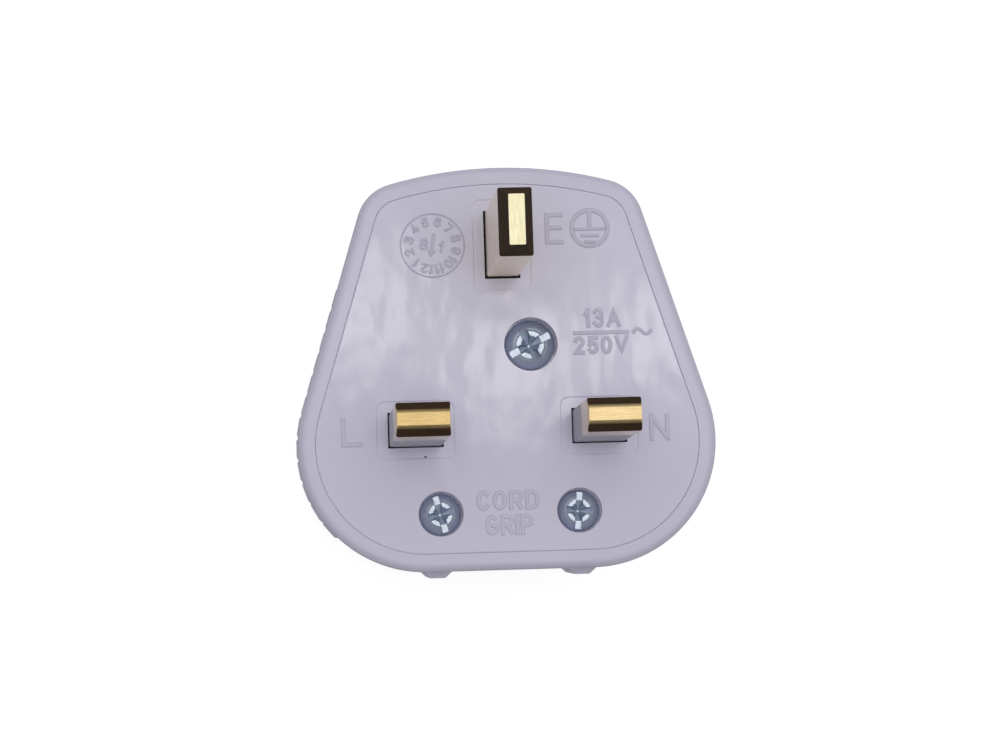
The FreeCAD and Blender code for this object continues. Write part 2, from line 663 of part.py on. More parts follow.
def make_clip(y):
    """A spring clip that holds one cap of the fuse: a flat back on the foot and two arms round the cap,
    with lips that open outwards so that the fuse can be pressed in."""
    axis = Vector(0, 1, 0)
    start = Vector(FUSE_X, y - CLIP_WIDTH / 2, FUSE_Z)
    ring = Part.makeCylinder(CLIP_OUTER_R, CLIP_WIDTH, start, axis)
    back = block(FUSE_DIAMETER, CLIP_WIDTH, FOOT_Z - CLIP_THICKNESS, FOOT_Z, FUSE_X, y)
    half = math.radians(CLIP_MOUTH_ANGLE / 2)
    reach = 2 * CLIP_OUTER_R
    mouth = Part.makePolygon(
        [
            start,
            start + Vector(-reach * math.tan(half), 0, -reach),
            start + Vector(reach * math.tan(half), 0, -reach),
            start,
        ]
    )
    wedge = Part.Face(mouth).extrude(axis * CLIP_WIDTH)
    clip = ring.cut(wedge).fuse([back] + [clip_lip(start, side) for side in (-1, 1)])
    room = Part.makeCylinder(CLIP_INNER_R, CLIP_WIDTH, start, axis)
    return clip.cut([room, rivet(y, FIT)]).removeSplitter()


def clip_lip(start, side):
    """One lip of a clip, flared outwards from the end of its arm."""
    half = math.radians(CLIP_MOUTH_ANGLE / 2)
    arm = Vector(side * math.sin(half), 0, -math.cos(half))
    flare = Vector(side * math.cos(half), 0, -math.sin(half))
    root = start + arm * CLIP_INNER_R
    corners = [
        root,
        root + arm * CLIP_THICKNESS,
        root + arm * CLIP_THICKNESS + flare * CLIP_LIP,
        root + arm * (CLIP_THICKNESS / 2) + flare * (CLIP_LIP + CLIP_THICKNESS),
        root + flare * CLIP_THICKNESS,
        root,
    ]
    return Part.Face(Part.makePolygon(corners)).extrude(Vector(0, CLIP_WIDTH, 0))


def rivet(y, grow):
    """A rivet through a clip and its foot, countersunk flush at both ends."""
    low, high = FOOT_Z - CLIP_THICKNESS, LEDGE_Z
    head = (RIVET_HEAD_DIAMETER - RIVET_DIAMETER) / 2
    small, large = RIVET_DIAMETER / 2 + grow, RIVET_HEAD_DIAMETER / 2 + grow
    clip_head = min(head, CLIP_THICKNESS)
    shank = post(2 * small, low, high, FUSE_X, y)
    inner = Part.makeCone(large, small, clip_head, Vector(FUSE_X, y, low))
    outer = Part.makeCone(small, large, head, Vector(FUSE_X, y, high - head))
    return shank.fuse([inner, outer]).removeSplitter()


def make_clip_rivets():
    """The two rivets that fix the fuse clips, short of the fuse and of the plate."""
    trim = block(BODY_WIDTH, BODY_LENGTH, FUSE_Z + CLIP_INNER_R, LEDGE_Z)
    return Part.makeCompound([rivet(y, 0).common(trim) for y in (LOWER_CLIP_Y, UPPER_CLIP_Y)])


def make_fuse_barrel():
    """The ceramic barrel of the fuse, filled and sealed."""
    return Part.makeCylinder(
        FUSE_BARREL_DIAMETER / 2,
        FUSE_LENGTH - 2 * FUSE_CAP_WALL,
        Vector(FUSE_X, FUSE_START_Y + FUSE_CAP_WALL, FUSE_Z),
        Vector(0, 1, 0),
    )


def make_fuse_cap(end, direction):
    """A drawn metal cap on one end of the fuse, closed at the end and bevelled round it."""
    axis = Vector(0, direction, 0)
    start = Vector(FUSE_X, end, FUSE_Z)
    cap = Part.makeCylinder(FUSE_DIAMETER / 2, FUSE_CAP_LENGTH, start, axis)
    closed_end = [e for e in cap.Edges if abs(e.BoundBox.Center.y - end) < FIT]
    cap = cap.makeChamfer(FUSE_CAP_WALL, closed_end)
    bore = Part.makeCylinder(FUSE_BARREL_DIAMETER / 2, FUSE_CAP_LENGTH, start + axis * FUSE_CAP_WALL, axis)
    return cap.cut(bore)


def headed_screw(head, height, shank, tip, x, y, turn):
    """A round-headed screw whose head takes a blade or a cross driver."""
    top = FACE_Z - HEAD_SINK
    body = post(head, top - height, top, x, y)
    body = body.makeChamfer(HEAD_BEVEL, edges_at_level(body, top))
    slot = block(SLOT_WIDTH, 2 * head, top - SLOT_DEPTH, top, x, y)
    cross = [driver_wing(x, y, top, angle) for angle in (0, 90)]
    socket = slot.fuse(cross)
    socket.rotate(Vector(x, y, 0), Vector(0, 0, 1), turn)
    return body.fuse(post(shank, tip, top - height, x, y)).removeSplitter().cut(socket)


def driver_wing(x, y, top, angle):
    """One tapered wing pair of a cross recess."""
    def rim(width, span, level):
        corners = [(-1, -1), (1, -1), (1, 1), (-1, 1), (-1, -1)]
        return Part.makePolygon([Vector(x + a * width / 2, y + b * span / 2, level) for a, b in corners])

    mouth = rim(SLOT_WIDTH, CROSS_SPAN, top)
    root = rim(SLOT_WIDTH / 2, CROSS_SPAN / 3, top - CROSS_DEPTH)
    wing = Part.makeLoft([mouth, root], True, True)
    wing.rotate(Vector(x, y, 0), Vector(0, 0, 1), angle)
    return wing


def cover_screw_tip():
    """How far back the cover screw reaches: right through its nut."""
    return TOWER_Z - NUT_LENGTH


def make_cover_screw():
    """The captive screw that draws the cover onto the base."""
    return headed_screw(
        COVER_HEAD_DIAMETER,
        COVER_HEAD_HEIGHT,
        COVER_SCREW_DIAMETER,
        cover_screw_tip(),
        COVER_SCREW_X,
        COVER_SCREW_Y,
        COVER_SCREW_TURN,
    )


def make_screw_washer():
    """The fibre washer that keeps the cover screw captive in the base."""
    low = SCREW_BOSS_Z - WASHER_THICKNESS
    washer = post(WASHER_DIAMETER, low, SCREW_BOSS_Z, COVER_SCREW_X, COVER_SCREW_Y)
    hole = post(COVER_SCREW_DIAMETER + 2 * FIT, 0, FACE_Z, COVER_SCREW_X, COVER_SCREW_Y)
    return washer.cut(hole)


def make_cover_nut():
    """The round brass nut pressed into the cover's tower."""
    nut = post(NUT_DIAMETER, TOWER_Z - NUT_LENGTH, TOWER_Z, COVER_SCREW_X, COVER_SCREW_Y)
    waist_low = TOWER_Z - (NUT_LENGTH + NUT_WAIST_LENGTH) / 2
    waist_high = waist_low + NUT_WAIST_LENGTH
    waist = post(2 * NUT_DIAMETER, waist_low, waist_high, COVER_SCREW_X, COVER_SCREW_Y)
    core = post(NUT_DIAMETER - 2 * NUT_WAIST_DEPTH, waist_low, waist_high, COVER_SCREW_X, COVER_SCREW_Y)
    thread = post(COVER_SCREW_DIAMETER + 2 * FIT, 0, FACE_Z, COVER_SCREW_X, COVER_SCREW_Y)
    return nut.cut([waist.cut(core), thread])


def make_grip_bar():
    """The bar that presses the cord against the base, toothed in the middle, with a nut in each end."""
    length = GRIP_SCREW_SPACING + GRIP_NUT_WIDTH + 2 * POCKET_WALL
    bar = rounded_block(length, GRIP_BAR_WIDTH, GRIP_BAR_WIDTH / 3, BAR_Z, BAR_TOP_Z, 0, GRIP_Y)
    cuts = [cord_groove()]
    for side in (-1, 1):
        x = side * GRIP_X
        cuts.append(post(GRIP_SCREW_DIAMETER + 2 * PLAY, 0, FACE_Z, x, GRIP_Y))
        nut_room = GRIP_NUT_WIDTH + 2 * FIT
        cuts.append(block(nut_room, 2 * GRIP_BAR_WIDTH, BAR_Z, BAR_Z + GRIP_NUT_THICKNESS, x, GRIP_Y))
    return bar.cut(cuts)


def make_grip_nuts():
    """The two square nuts in the grip bar."""
    nuts = []
    for side in (-1, 1):
        top = BAR_Z + GRIP_NUT_THICKNESS
        nut = block(GRIP_NUT_WIDTH, GRIP_NUT_WIDTH, BAR_Z, top, side * GRIP_X, GRIP_Y)
        nuts.append(nut.cut(post(GRIP_SCREW_DIAMETER + 2 * FIT, 0, FACE_Z, side * GRIP_X, GRIP_Y)))
    return Part.makeCompound(nuts)


def make_grip_screws():
    """The two cord grip screws, driven from the pin side."""
    screws = []
    for x, turn in ((-GRIP_X, LEFT_GRIP_TURN), (GRIP_X, RIGHT_GRIP_TURN)):
        screws.append(
            headed_screw(GRIP_HEAD_DIAMETER, GRIP_HEAD_HEIGHT, GRIP_SCREW_DIAMETER, BAR_Z, x, GRIP_Y, turn)
        )
    return Part.makeCompound(screws)


def build():
    """Every piece of the plug, by the name of its file."""
    return {
        "base": make_base(),
        "cover": make_cover(),
        "earth_pin": make_earth_pin(),
        "neutral_pin": make_neutral_pin(),
        "live_pin": make_live_pin(),
        "neutral_sleeve": make_sleeve(NEUTRAL_X),
        "live_sleeve": make_sleeve(LIVE_X),
        "live_terminal": make_live_terminal(),
        "terminal_screws": make_terminal_screws(),
        "lower_fuse_clip": make_clip(LOWER_CLIP_Y),
        "upper_fuse_clip": make_clip(UPPER_CLIP_Y),
        "clip_rivets": make_clip_rivets(),
        "fuse_barrel": make_fuse_barrel(),
        "lower_fuse_cap": make_fuse_cap(FUSE_START_Y, 1),
        "upper_fuse_cap": make_fuse_cap(FUSE_END_Y, -1),
        "cover_screw": make_cover_screw(),
        "screw_washer": make_screw_washer(),
        "cover_nut": make_cover_nut(),
        "grip_bar": make_grip_bar(),
        "grip_nuts": make_grip_nuts(),
        "grip_screws": make_grip_screws(),
    }


def main():
    os.makedirs("parts", exist_ok=True)
    for name, shape in build().items():
        shape.exportStep(f"parts/{name}.step")
        print(f"{name}: {len(shape.Solids)} solids, {shape.Volume:.1f} mm3, valid {shape.isValid()}")


main()
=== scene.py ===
"""Looks of a rewirable three-pin mains plug that lies on its back with the pins up.

Metres. +Z is the way the pins point and +Y runs from the cord entry to the earth pin. Marks are placed in
millimetres from the middle of the two line pins.
"""

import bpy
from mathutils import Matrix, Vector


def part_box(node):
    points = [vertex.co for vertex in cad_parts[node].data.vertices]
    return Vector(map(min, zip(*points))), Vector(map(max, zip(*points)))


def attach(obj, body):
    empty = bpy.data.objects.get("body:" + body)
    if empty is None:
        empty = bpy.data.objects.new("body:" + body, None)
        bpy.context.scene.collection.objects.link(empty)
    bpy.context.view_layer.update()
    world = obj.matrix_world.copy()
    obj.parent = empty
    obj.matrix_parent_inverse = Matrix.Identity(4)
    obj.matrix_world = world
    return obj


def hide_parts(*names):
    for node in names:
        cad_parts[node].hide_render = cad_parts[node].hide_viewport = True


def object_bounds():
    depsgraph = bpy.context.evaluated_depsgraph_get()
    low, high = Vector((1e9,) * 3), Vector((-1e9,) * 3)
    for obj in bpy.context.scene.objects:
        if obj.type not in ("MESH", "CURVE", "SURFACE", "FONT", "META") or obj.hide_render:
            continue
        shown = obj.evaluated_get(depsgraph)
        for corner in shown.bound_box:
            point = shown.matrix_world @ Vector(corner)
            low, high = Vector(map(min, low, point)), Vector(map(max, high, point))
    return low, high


bl_info = {
    "name": "Three-pin plug",
    "version": (1, 0, 0),
    "blender": (4, 5, 0),
    "location": "View3D > Sidebar > Plug",
    "description": "Dresses the solids of a three-pin mains plug and sets its stage",
    "category": "Object",
}

import math

import bmesh
import bpy
from bpy.props import FloatProperty, FloatVectorProperty, IntProperty, PointerProperty
from mathutils import Matrix, Vector

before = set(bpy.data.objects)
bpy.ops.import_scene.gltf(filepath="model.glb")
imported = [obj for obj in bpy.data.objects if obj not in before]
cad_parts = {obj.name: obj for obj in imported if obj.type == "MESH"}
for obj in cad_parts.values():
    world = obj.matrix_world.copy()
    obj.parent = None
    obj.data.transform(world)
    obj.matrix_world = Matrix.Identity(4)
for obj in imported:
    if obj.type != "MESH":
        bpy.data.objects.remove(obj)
CAD_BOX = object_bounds()

MM = 0.001
BODY = "root"

# Levels and places read from the solids
FACE_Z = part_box("base")[1].z
SLEEVE_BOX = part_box("live_sleeve")
LINE_Y = (SLEEVE_BOX[0].y + SLEEVE_BOX[1].y) / 2
SLEEVE_END_Z = SLEEVE_BOX[1].z

# Plastics: roughness, depth of the sink ripple and depth of the grain in millimetres
FACE_SKIN = {"rough": (0.065, 0.115), "ripple": 0.042, "grain": 0.0003}
SHELL_SKIN = {"rough": (0.16, 0.26), "ripple": 0.03, "grain": 0.001}
MARK_SKIN = {"rough": (0.5, 0.65), "ripple": 0.004, "grain": 0.006}
SLEEVE_SKIN = {"rough": (0.38, 0.5), "ripple": 0.01, "grain": 0.004}
CERAMIC_SKIN = {"rough": (0.5, 0.65), "ripple": 0.006, "grain": 0.006}
FIBRE_SKIN = {"rough": (0.7, 0.85), "ripple": 0.01, "grain": 0.02}
SKIN_SCALES = {"Cloud Scale": 70.0, "Ripple Scale": 240.0, "Grain Scale": 5000.0, "Fleck Scale": 900.0}
RIPPLE_STRETCH = (1.5, 0.8, 1.0)
UNEVEN_RANGE = (0.6, 1.4)
CLOUD_SHADES = (0.965, 1.035)
FLECK_FIELD_SCALE = 260.0
FLECK_FIELD_LIMIT = 0.68
FLECK_EDGE = (0.10, 0.05)
FLECK_WEIGHT = 0.35
FLECK_SHADE = 0.35
SPECK_PLACE = (-10.0, -3.3)
SPECK_DEPTH = 0.08
SPECK_EDGE = (0.18 * MM, 0.13 * MM)
SPECK_COLOUR = (0.02, 0.02, 0.04)
# Painted shade: the cover and cord grip wear a copy of the one plastic made a little darker
SHELL_PAINTED_SHADE = 0.97
# Painted light: the sloped edges of the base are painted lighter, to soften the dark seam line at the cover
SEAM_SLOPE_PAINTED_LIGHT = 1.3
# Painted shade: the sloped edges of the raised marks are painted darker, as dark outlines round them
MARK_EDGE_PAINTED_SHADE = 0.8
# Painted shade: the earth letter, earth sign, rating and date dial use a darker copy of the mark plastic,
# standing for the sheen that their matte faces do not catch
ETCHED_PAINTED_SHADE = 0.92
# Painted shade: darker edges for the darker marks
ETCHED_EDGE_PAINTED_SHADE = 0.84
SLOPE_RISE = (0.97, 0.85)
TOP_RISE = (0.4, 0.8)
WALL_POLISH = 0.15
PLASTIC_IOR = 1.5

# Metals: colour of a stain, roughness, scales of the grain and its depth in millimetres
PLAIN_GRAIN = (2500.0, 2500.0, 2500.0)
SCREW_GRAIN = (2200.0, 2200.0, 2200.0)
TURNED_GRAIN = (5000.0, 700.0, 5000.0)
STRIP_GRAIN = (900.0, 7000.0, 900.0)
BRASS_SKIN = {"stained": (0.66, 0.45, 0.19), "rough": (0.24, 0.4), "scales": PLAIN_GRAIN, "depth": 0.003}
BRONZE_SKIN = {"stained": (0.52, 0.31, 0.16), "rough": (0.22, 0.36), "scales": STRIP_GRAIN, "depth": 0.002}
NUT_SKIN = {"stained": (0.62, 0.62, 0.58), "rough": (0.26, 0.42), "scales": PLAIN_GRAIN, "depth": 0.002}
SCREW_SKIN = {"stained": (0.56, 0.61, 0.69), "rough": (0.24, 0.42), "scales": SCREW_GRAIN, "depth": 0.002}
NICKEL_SKIN = {"stained": (0.58, 0.56, 0.52), "rough": (0.16, 0.28), "scales": TURNED_GRAIN, "depth": 0.001}
GRAIN_SCALES = {
    "Scale X": 400.0,
    "Scale Y": 6000.0,
    "Scale Z": 400.0,
    "Stain Scale": 300.0,
    "Pit Scale": 4000.0,
}
SHINE_SHADE = 1.06
LINE_RANGE = (0.35, 0.8)
LINE_WEIGHT = 0.4
LINE_SHADE = 0.72
PIT_EDGE = (0.62, 0.78)
PIT_WEIGHT = 0.4
PIT_SHADE = 0.45
ROUGH_RANGE = (0.25, 0.75)

# Pins: grain, flat ends, painted shade on the bevels, sides given their own colour as a painted reflection,
# a painted shadow line at the sleeve and painted shade at the root
BRASS_STAIN = (0.88, 0.80, 0.70)
LINE_PIN_GRAIN = (500.0, 9000.0, 700.0)
EARTH_PIN_GRAIN = (9000.0, 500.0, 700.0)
PIN_ROUGH = (0.16, 0.34)
PIN_LINE_DEPTH = 0.0015 * MM
PIN_PIT_DEPTH = 0.0006 * MM
# Painted shade: the bevels at a pin's tip are painted a dark non-metal colour in place of the dark
# reflections of real brass; on a line pin this painted shade fades out over a strip next to the flat end
LINE_FLAT = 0.74 * MM
BEVEL_SHADE_FADE = 0.45 * MM
BEVEL_SHADES = (0.6, 1.4)
BEVEL_RISE = (0.12, 0.2)
FLAT_RISE = (0.97, 0.9)
# Painted reflection: the upright sides of a pin get a colour of their own, set to stand for the pale face
# that they reflect, on top of their real metal reflection
SIDE_RISE = (0.12, 0.05)
SIDE_REFLECTION_WEIGHT = 0.9
# Painted shadow: a soft dark band on a line pin's brass just above its sleeve, standing for the shade where
# the brass meets the sleeve
SLEEVE_SHADOW_RISE = 0.5 * MM
SLEEVE_SHADOW_EDGE = (0.7 * MM, 0.3 * MM)
SLEEVE_SHADOW_WEIGHT = 0.85
SLEEVE_SHADOW_SHADE = 0.4
# Painted shade: brass just below the face, seen down the slots, is painted near black as the shade inside
# the slots
ROOT_SHADE_EDGE = (0.05 * MM, 0.25 * MM)
ROOT_PAINTED_SHADE = 0.1

# Marks on the face: words and the boxes that they fill, left, right, low and high
LETTER_BOXES = {
    "L": (-20.05, -17.55, -1.85, 1.65),
    "N": (17.16, 19.6, -2.05, 1.2),
}
EARTH_LETTER_BOXES = {"E": (5.3, 7.52, 22.07, 25.88)}
RATING_BOXES = {
    "13A": (9.6, 14.14, 11.82, 14.2),
    "250V": (8.3, 15.0, 8.57, 10.8),
}
SWUNG_BOX = (15.45, 17.9, 10.7, 11.75)
GRIP_BOXES = {
    "CORD": (-4.05, 3.5, -9.93, -7.55),
    "GRIP": (-3.05, 2.75, -12.95, -10.48),
}
RATING_LINE = (8.3, 15.1, 10.97, 11.42)
LETTER_STROKE = 0.5
WORD_STROKE = 0.46
SWUNG_STROKE = 0.4
NUMBER_STROKE = 0.26
YEAR_GROWTH = 1.15
LETTER_GAP = 0.12
NUMBER_WIDTH = 0.74
NUMBER_WIDTHS = {"1": 0.42}
NUMBER_GAP = 0.1
GLYPH_WIDTHS = {"1": 0.36, "I": 0.16, "3": 0.56, "2": 0.58, "5": 0.58, "0": 0.58, "L": 0.6, "~": 2.0}
USUAL_WIDTH = 0.72
EARTH_SIGN_PLACE = (10.74, 23.95)
DIAL_PLACE = (-8.40, 22.26)
DIAL_COUNT = 12
DIAL_FIRST_ANGLE = -134.0
DIAL_STEP_ANGLE = -30.0
DIAL_ARROW_ANGLE = -100.0
DIAL_YEAR = ("8", "1")
DIAL_YEAR_RADIUS = 1.03
DIAL_ARROW = ((-1.45, -0.2), (0.6, -0.2), (0.6, -0.5), (1.45, 0.0), (0.6, 0.5), (0.6, 0.2), (-1.45, 0.2))
SIGN_BARS = ((0.12, 0.78), (0.45, 0.46), (0.76, 0.28))
SIGN_BAR_HEIGHT = 0.34


def colour(name, description, default):
    """A colour that a user may change."""
    return FloatVectorProperty(
        name=name, description=description, subtype="COLOR", size=3, min=0.0, max=1.0, default=default
    )


def length(name, description, millimetres):
    """A length that a user may change."""
    return FloatProperty(
        name=name, description=description, default=millimetres * MM, min=0.0, unit="LENGTH", precision=5
    )


def number(name, description, default, **more):
    """A plain number that a user may change."""
    return FloatProperty(name=name, description=description, default=default, min=0.0, **more)


class PlugColours(bpy.types.PropertyGroup):
    """Colours of the plug's finishes."""

    plastic: colour("Plastic", "Moulded cover, base and cord grip", (0.685, 0.665, 0.805))
    # Painted shade: the mark colour is the plastic made a little darker, standing for the sheen that the
    # matte faces of the marks do not catch
    mark: colour("Marks", "Faces of the raised marks", (0.65, 0.63, 0.765))
    sleeve: colour("Sleeves", "Insulating sleeves of the line pins", (0.42, 0.41, 0.465))
    brass: colour("Brass", "Terminals", (0.78, 0.60, 0.29))
    live: colour("Live brass", "Live pin", (0.625, 0.475, 0.225))
    neutral: colour("Neutral brass", "Neutral pin, a little paler", (0.75, 0.60, 0.325))
    earth: colour("Earth brass", "Earth pin, paler still", (0.75, 0.72, 0.50))
    # Painted shade: the two bevel colours are painted on the pin tips in place of the dark reflections of
    # real brass bevels
    bevel: colour("Bevels", "Dark sheared bevels at the tip of the earth pin", (0.072, 0.051, 0.038))
    line_painted_bevel_shade: colour("Line bevels", "Browner bevels at the tips of the line pins", (0.058, 0.036, 0.022))
    # Painted reflection: the side colours are set to stand for the pale face that the upright brass sides
    # reflect
    side: colour("Pin sides", "Smooth sides of the earth pin", (0.94, 0.79, 0.52))
    line_side_reflection: colour("Line pin sides", "Duller sides of the line pins", (0.72, 0.55, 0.29))
    bronze: colour("Bronze", "Fuse clips", (0.66, 0.42, 0.22))
    zinc: colour("Zinc", "Plated screws and nuts", (0.58, 0.635, 0.725))
    nickel: colour("Nickel", "Fuse caps", (0.70, 0.69, 0.66))
    ceramic: colour("Ceramic", "Fuse barrel", (0.83, 0.80, 0.72))
    fibre: colour("Fibre", "Washer under the base", (0.32, 0.15, 0.08))


class PlugMarks(bpy.types.PropertyGroup):
    """Sizes of the raised marks on the face."""

    relief: length("Relief", "How far a mark stands out of the face", 0.12)
    sink: length("Sink", "How far a mark reaches into the face", 0.05)
    edge: length("Edge", "Sloped edge of a mark", 0.06)
    dial_diameter: length("Dial diameter", "Outer diameter of the date dial", 7.86)
    dial_line: length("Dial line", "Width of the dial's ring", 0.16)
    number_height: length("Number height", "Height of the dial's numbers", 1.2)
    number_radius: length("Number radius", "Radius of the ring of numbers", 2.92)
    sign_diameter: length("Sign diameter", "Outer diameter of the earth sign", 4.86)
    sign_line: length("Sign line", "Width of the earth sign's lines", 0.5)


class PlugScrews(bpy.types.PropertyGroup):
    """Sizes of the screws that the solids leave plain."""

    dome: length("Dome", "Height of a head's rounded top", 1.85)
    slot_width: length("Slot width", "Width of the driver slot", 0.85)
    slot_depth: length("Slot depth", "Depth of the driver slot", 0.98)
    cross_span: length("Cross span", "Width of the cross recess over its wings", 4.6)
    cross_depth: length("Cross depth", "Depth of the cross recess", 2.7)
    thread_pitch: length("Thread pitch", "Distance from one thread to the next", 0.7)
    thread_depth: length("Thread depth", "Depth of the thread", 0.22)


class PlugStage(bpy.types.PropertyGroup):
    """Floor, lamps and camera."""

    floor_radius: number("Floor radius", "Radius of the round floor", 3.0, unit="LENGTH")
    window_power: number("Window power", "Power of each window", 0.031, unit="POWER")
    sky_low: number("Sky, low", "Brightness of the surroundings at the horizon", 0.2)
    sky_high: number("Sky, high", "Brightness of the surroundings overhead", 1.08)
    lens: number("Lens", "Focal length of the camera in millimetres", 122.9)
    sensor: number("Sensor", "Width of the camera's sensor in millimetres", 36.0)
    segments: IntProperty(
        name="Floor segments", description="Straight sides of the round floor", default=96, min=3
    )


# Camera place, what it looks at and the way up, found from the six ends of the pins
CAMERA_PLACE = Vector((-33.39, -36.32, 432.46)) * MM
CAMERA_TARGET = Vector((-0.73, -0.62, 24.0)) * MM
CAMERA_UP = Vector((0.0259, 0.9957, 0.0891))
CLIP_START = 0.01
WINDOW_PLACES = (Vector((0.02, 0.113, 1.0)), Vector((0.085, 0.088, 1.0)), Vector((0.15, 0.103, 1.0)))
WINDOW_SIZE = (0.042, 0.042)
WINDOW_COLOUR = (1.0, 0.97, 0.94)
FLOOR_NEAR = 0.10
FLOOR_FAR = 0.50
FLOOR_GLOW_NEAR = 0.82
FLOOR_GLOW_FAR = 1.0
FLOOR_COLOUR = (0.42, 0.42, 0.42)
FLOOR_SHADES = (0.98, 1.02)
FLOOR_GRAIN_SCALE = 900.0
FLOOR_DROP = 0.05 * MM
SKY_EDGE = (0.5, 0.8)
SKY_COLOUR = (0.98, 0.98, 1.0, 1.0)
SKY_AXIS = Vector((0.06, 0.2, 1.0)).normalized()

# Screws: turn of the driver slot, and how the turned solids are divided
COVER_TURN = math.radians(-64.0)
GRIP_TURNS = (math.radians(15.0), math.radians(-4.5))
COVER_HEAD_HEIGHT = 2.0 * MM
GRIP_HEAD_HEIGHT = 1.7 * MM
COVER_SHANK = 3.9 * MM
GRIP_SHANK = 2.9 * MM
TURNED_SEGMENTS = 48
HEAD_RINGS = 33
SHANK_RINGS = 150
DOME_SHARE = 0.6
SEAT_SHARE = 0.8
SHANK_OVERLAP = 0.2
THREAD_START = (0.10, 0.16)
THREAD_END = (0.95, 1.0)
WELD_GAP = 0.002 * MM
SHARP_ANGLE = math.radians(32.0)

# Driver recess: wings and round cuts as shares of the cross span, levels of the steps as shares of the dome
WING_TOP = 1.06
WING_TIP = 0.06
WING_WIDTH = 1.6
RECESS_RISE = 1.1
WELL_TOP = 0.33
WELL_BOTTOM = 0.03
DISH = {"level": -0.33, "rise": 0.04, "inner": 0.24, "outer": 0.362}
FLARE = {"level": -0.29, "rise": 0.2, "inner": 0.362, "outer": 0.445}
CONE_SEGMENTS = 40


class Graph:
    """Adds nodes to a tree and links them as they are added."""

    def __init__(self, tree):
        self.tree = tree

    def add(self, kind, inputs=None, **settings):
        """A node with its settings, and with values or links on the inputs that are named or numbered."""
        node = self.tree.nodes.new(kind)
        for name, value in settings.items():
            setattr(node, name, value)
        for key, value in (inputs or {}).items():
            values = value if isinstance(value, list) else [value]
            for item in values:
                if isinstance(item, bpy.types.NodeSocket):
                    self.tree.links.new(item, node.inputs[key])
                else:
                    node.inputs[key].default_value = item
        return node

    def math(self, operation, first, second=0.0):
        """One sum on two numbers or sockets."""
        return self.add("ShaderNodeMath", {0: first, 1: second}, operation=operation).outputs[0]

    def times(self, first, second):
        """One value times another."""
        return self.math("MULTIPLY", first, second)

    def plus(self, first, second):
        """Two values together."""
        return self.math("ADD", first, second)

    def minus(self, first, second):
        """One value less another."""
        return self.math("SUBTRACT", first, second)

    def ramp(self, value, start, end, low=0.0, high=1.0):
        """A value that runs from low to high between two ends and stays there beyond them."""
        inputs = {"Value": value, "From Min": start, "From Max": end, "To Min": low, "To Max": high}
        return self.add("ShaderNodeMapRange", inputs, clamp=True).outputs["Result"]

    def mix(self, factor, first, second):
        """A colour between two others."""
        inputs = {0: factor, 6: first, 7: second}
        return self.add("ShaderNodeMix", inputs, data_type="RGBA").outputs[2]

    def noise(self, vector, scale, detail=2.0, roughness=0.5):
        """A smooth random value from 0 to 1."""
        inputs = {"Vector": vector, "Scale": scale, "Detail": detail, "Roughness": roughness}
        return self.add("ShaderNodeTexNoise", inputs).outputs[0]

    def vectors(self, operation, *values):
        """The outputs of one sum on vectors: a vector or a value."""
        return self.add("ShaderNodeVectorMath", dict(enumerate(values)), operation=operation).outputs

    def parts(self, value):
        """The three numbers of a vector."""
        return self.add("ShaderNodeSeparateXYZ", {0: value}).outputs

    def group(self, tree, inputs):
        """The outputs of a node group with its inputs."""
        return self.add("ShaderNodeGroup", inputs, node_tree=tree).outputs


def shade(rgb, factor=1.0):
    """A colour with its alpha, made lighter or darker."""
    return tuple(min(c * factor, 1.0) for c in rgb) + (1.0,)


def vector(graph, x, y, z):
    """Three numbers or sockets as one vector."""
    return graph.add("ShaderNodeCombineXYZ", {0: x, 1: y, 2: z}).outputs[0]


def new_socket(tree, name, kind, way="INPUT"):
    """A socket on the outside of a node group."""
    return tree.interface.new_socket(name, in_out=way, socket_type="NodeSocket" + kind)


def group_tree(name, inputs, outputs):
    """An empty shader group with named number inputs and outputs after its position input."""
    tree = bpy.data.node_groups.new(name, "ShaderNodeTree")
    new_socket(tree, "Position", "Vector")
    for socket, default in inputs.items():
        new_socket(tree, socket, "Float").default_value = default
    for socket in outputs:
        new_socket(tree, socket, "Float", "OUTPUT")
    graph = Graph(tree)
    enter = graph.add("NodeGroupInput").outputs
    leave = graph.add("NodeGroupOutput")
    return tree, graph, enter, leave


def close_group(tree, leave, results):
    """Link the results of a group to its outputs."""
    for name, socket in results.items():
        tree.links.new(socket, leave.inputs[name])
    return tree


def moulded_skin():
    """Slow clouds of colour, the ripple of sink marks, a fine grain and rare dark flecks."""
    found = bpy.data.node_groups.get("moulded_skin")
    if found:
        return found
    outputs = ("Cloud", "Ripple", "Grain", "Fleck")
    tree, graph, enter, leave = group_tree("moulded_skin", SKIN_SCALES, outputs)
    place = enter["Position"]
    flecks = graph.add("ShaderNodeTexVoronoi", {"Vector": place, "Scale": enter["Fleck Scale"]})
    field = graph.noise(place, FLECK_FIELD_SCALE, detail=0.0)
    rare = graph.math("GREATER_THAN", field, FLECK_FIELD_LIMIT)
    spot = graph.ramp(flecks.outputs["Distance"], *FLECK_EDGE)
    upright = graph.vectors("MULTIPLY", place, RIPPLE_STRETCH)["Vector"]
    results = {
        "Cloud": graph.noise(place, enter["Cloud Scale"], detail=3.0),
        "Ripple": graph.noise(upright, enter["Ripple Scale"], detail=1.5, roughness=0.3),
        "Grain": graph.noise(place, enter["Grain Scale"]),
        "Fleck": graph.times(spot, rare),
    }
    return close_group(tree, leave, results)


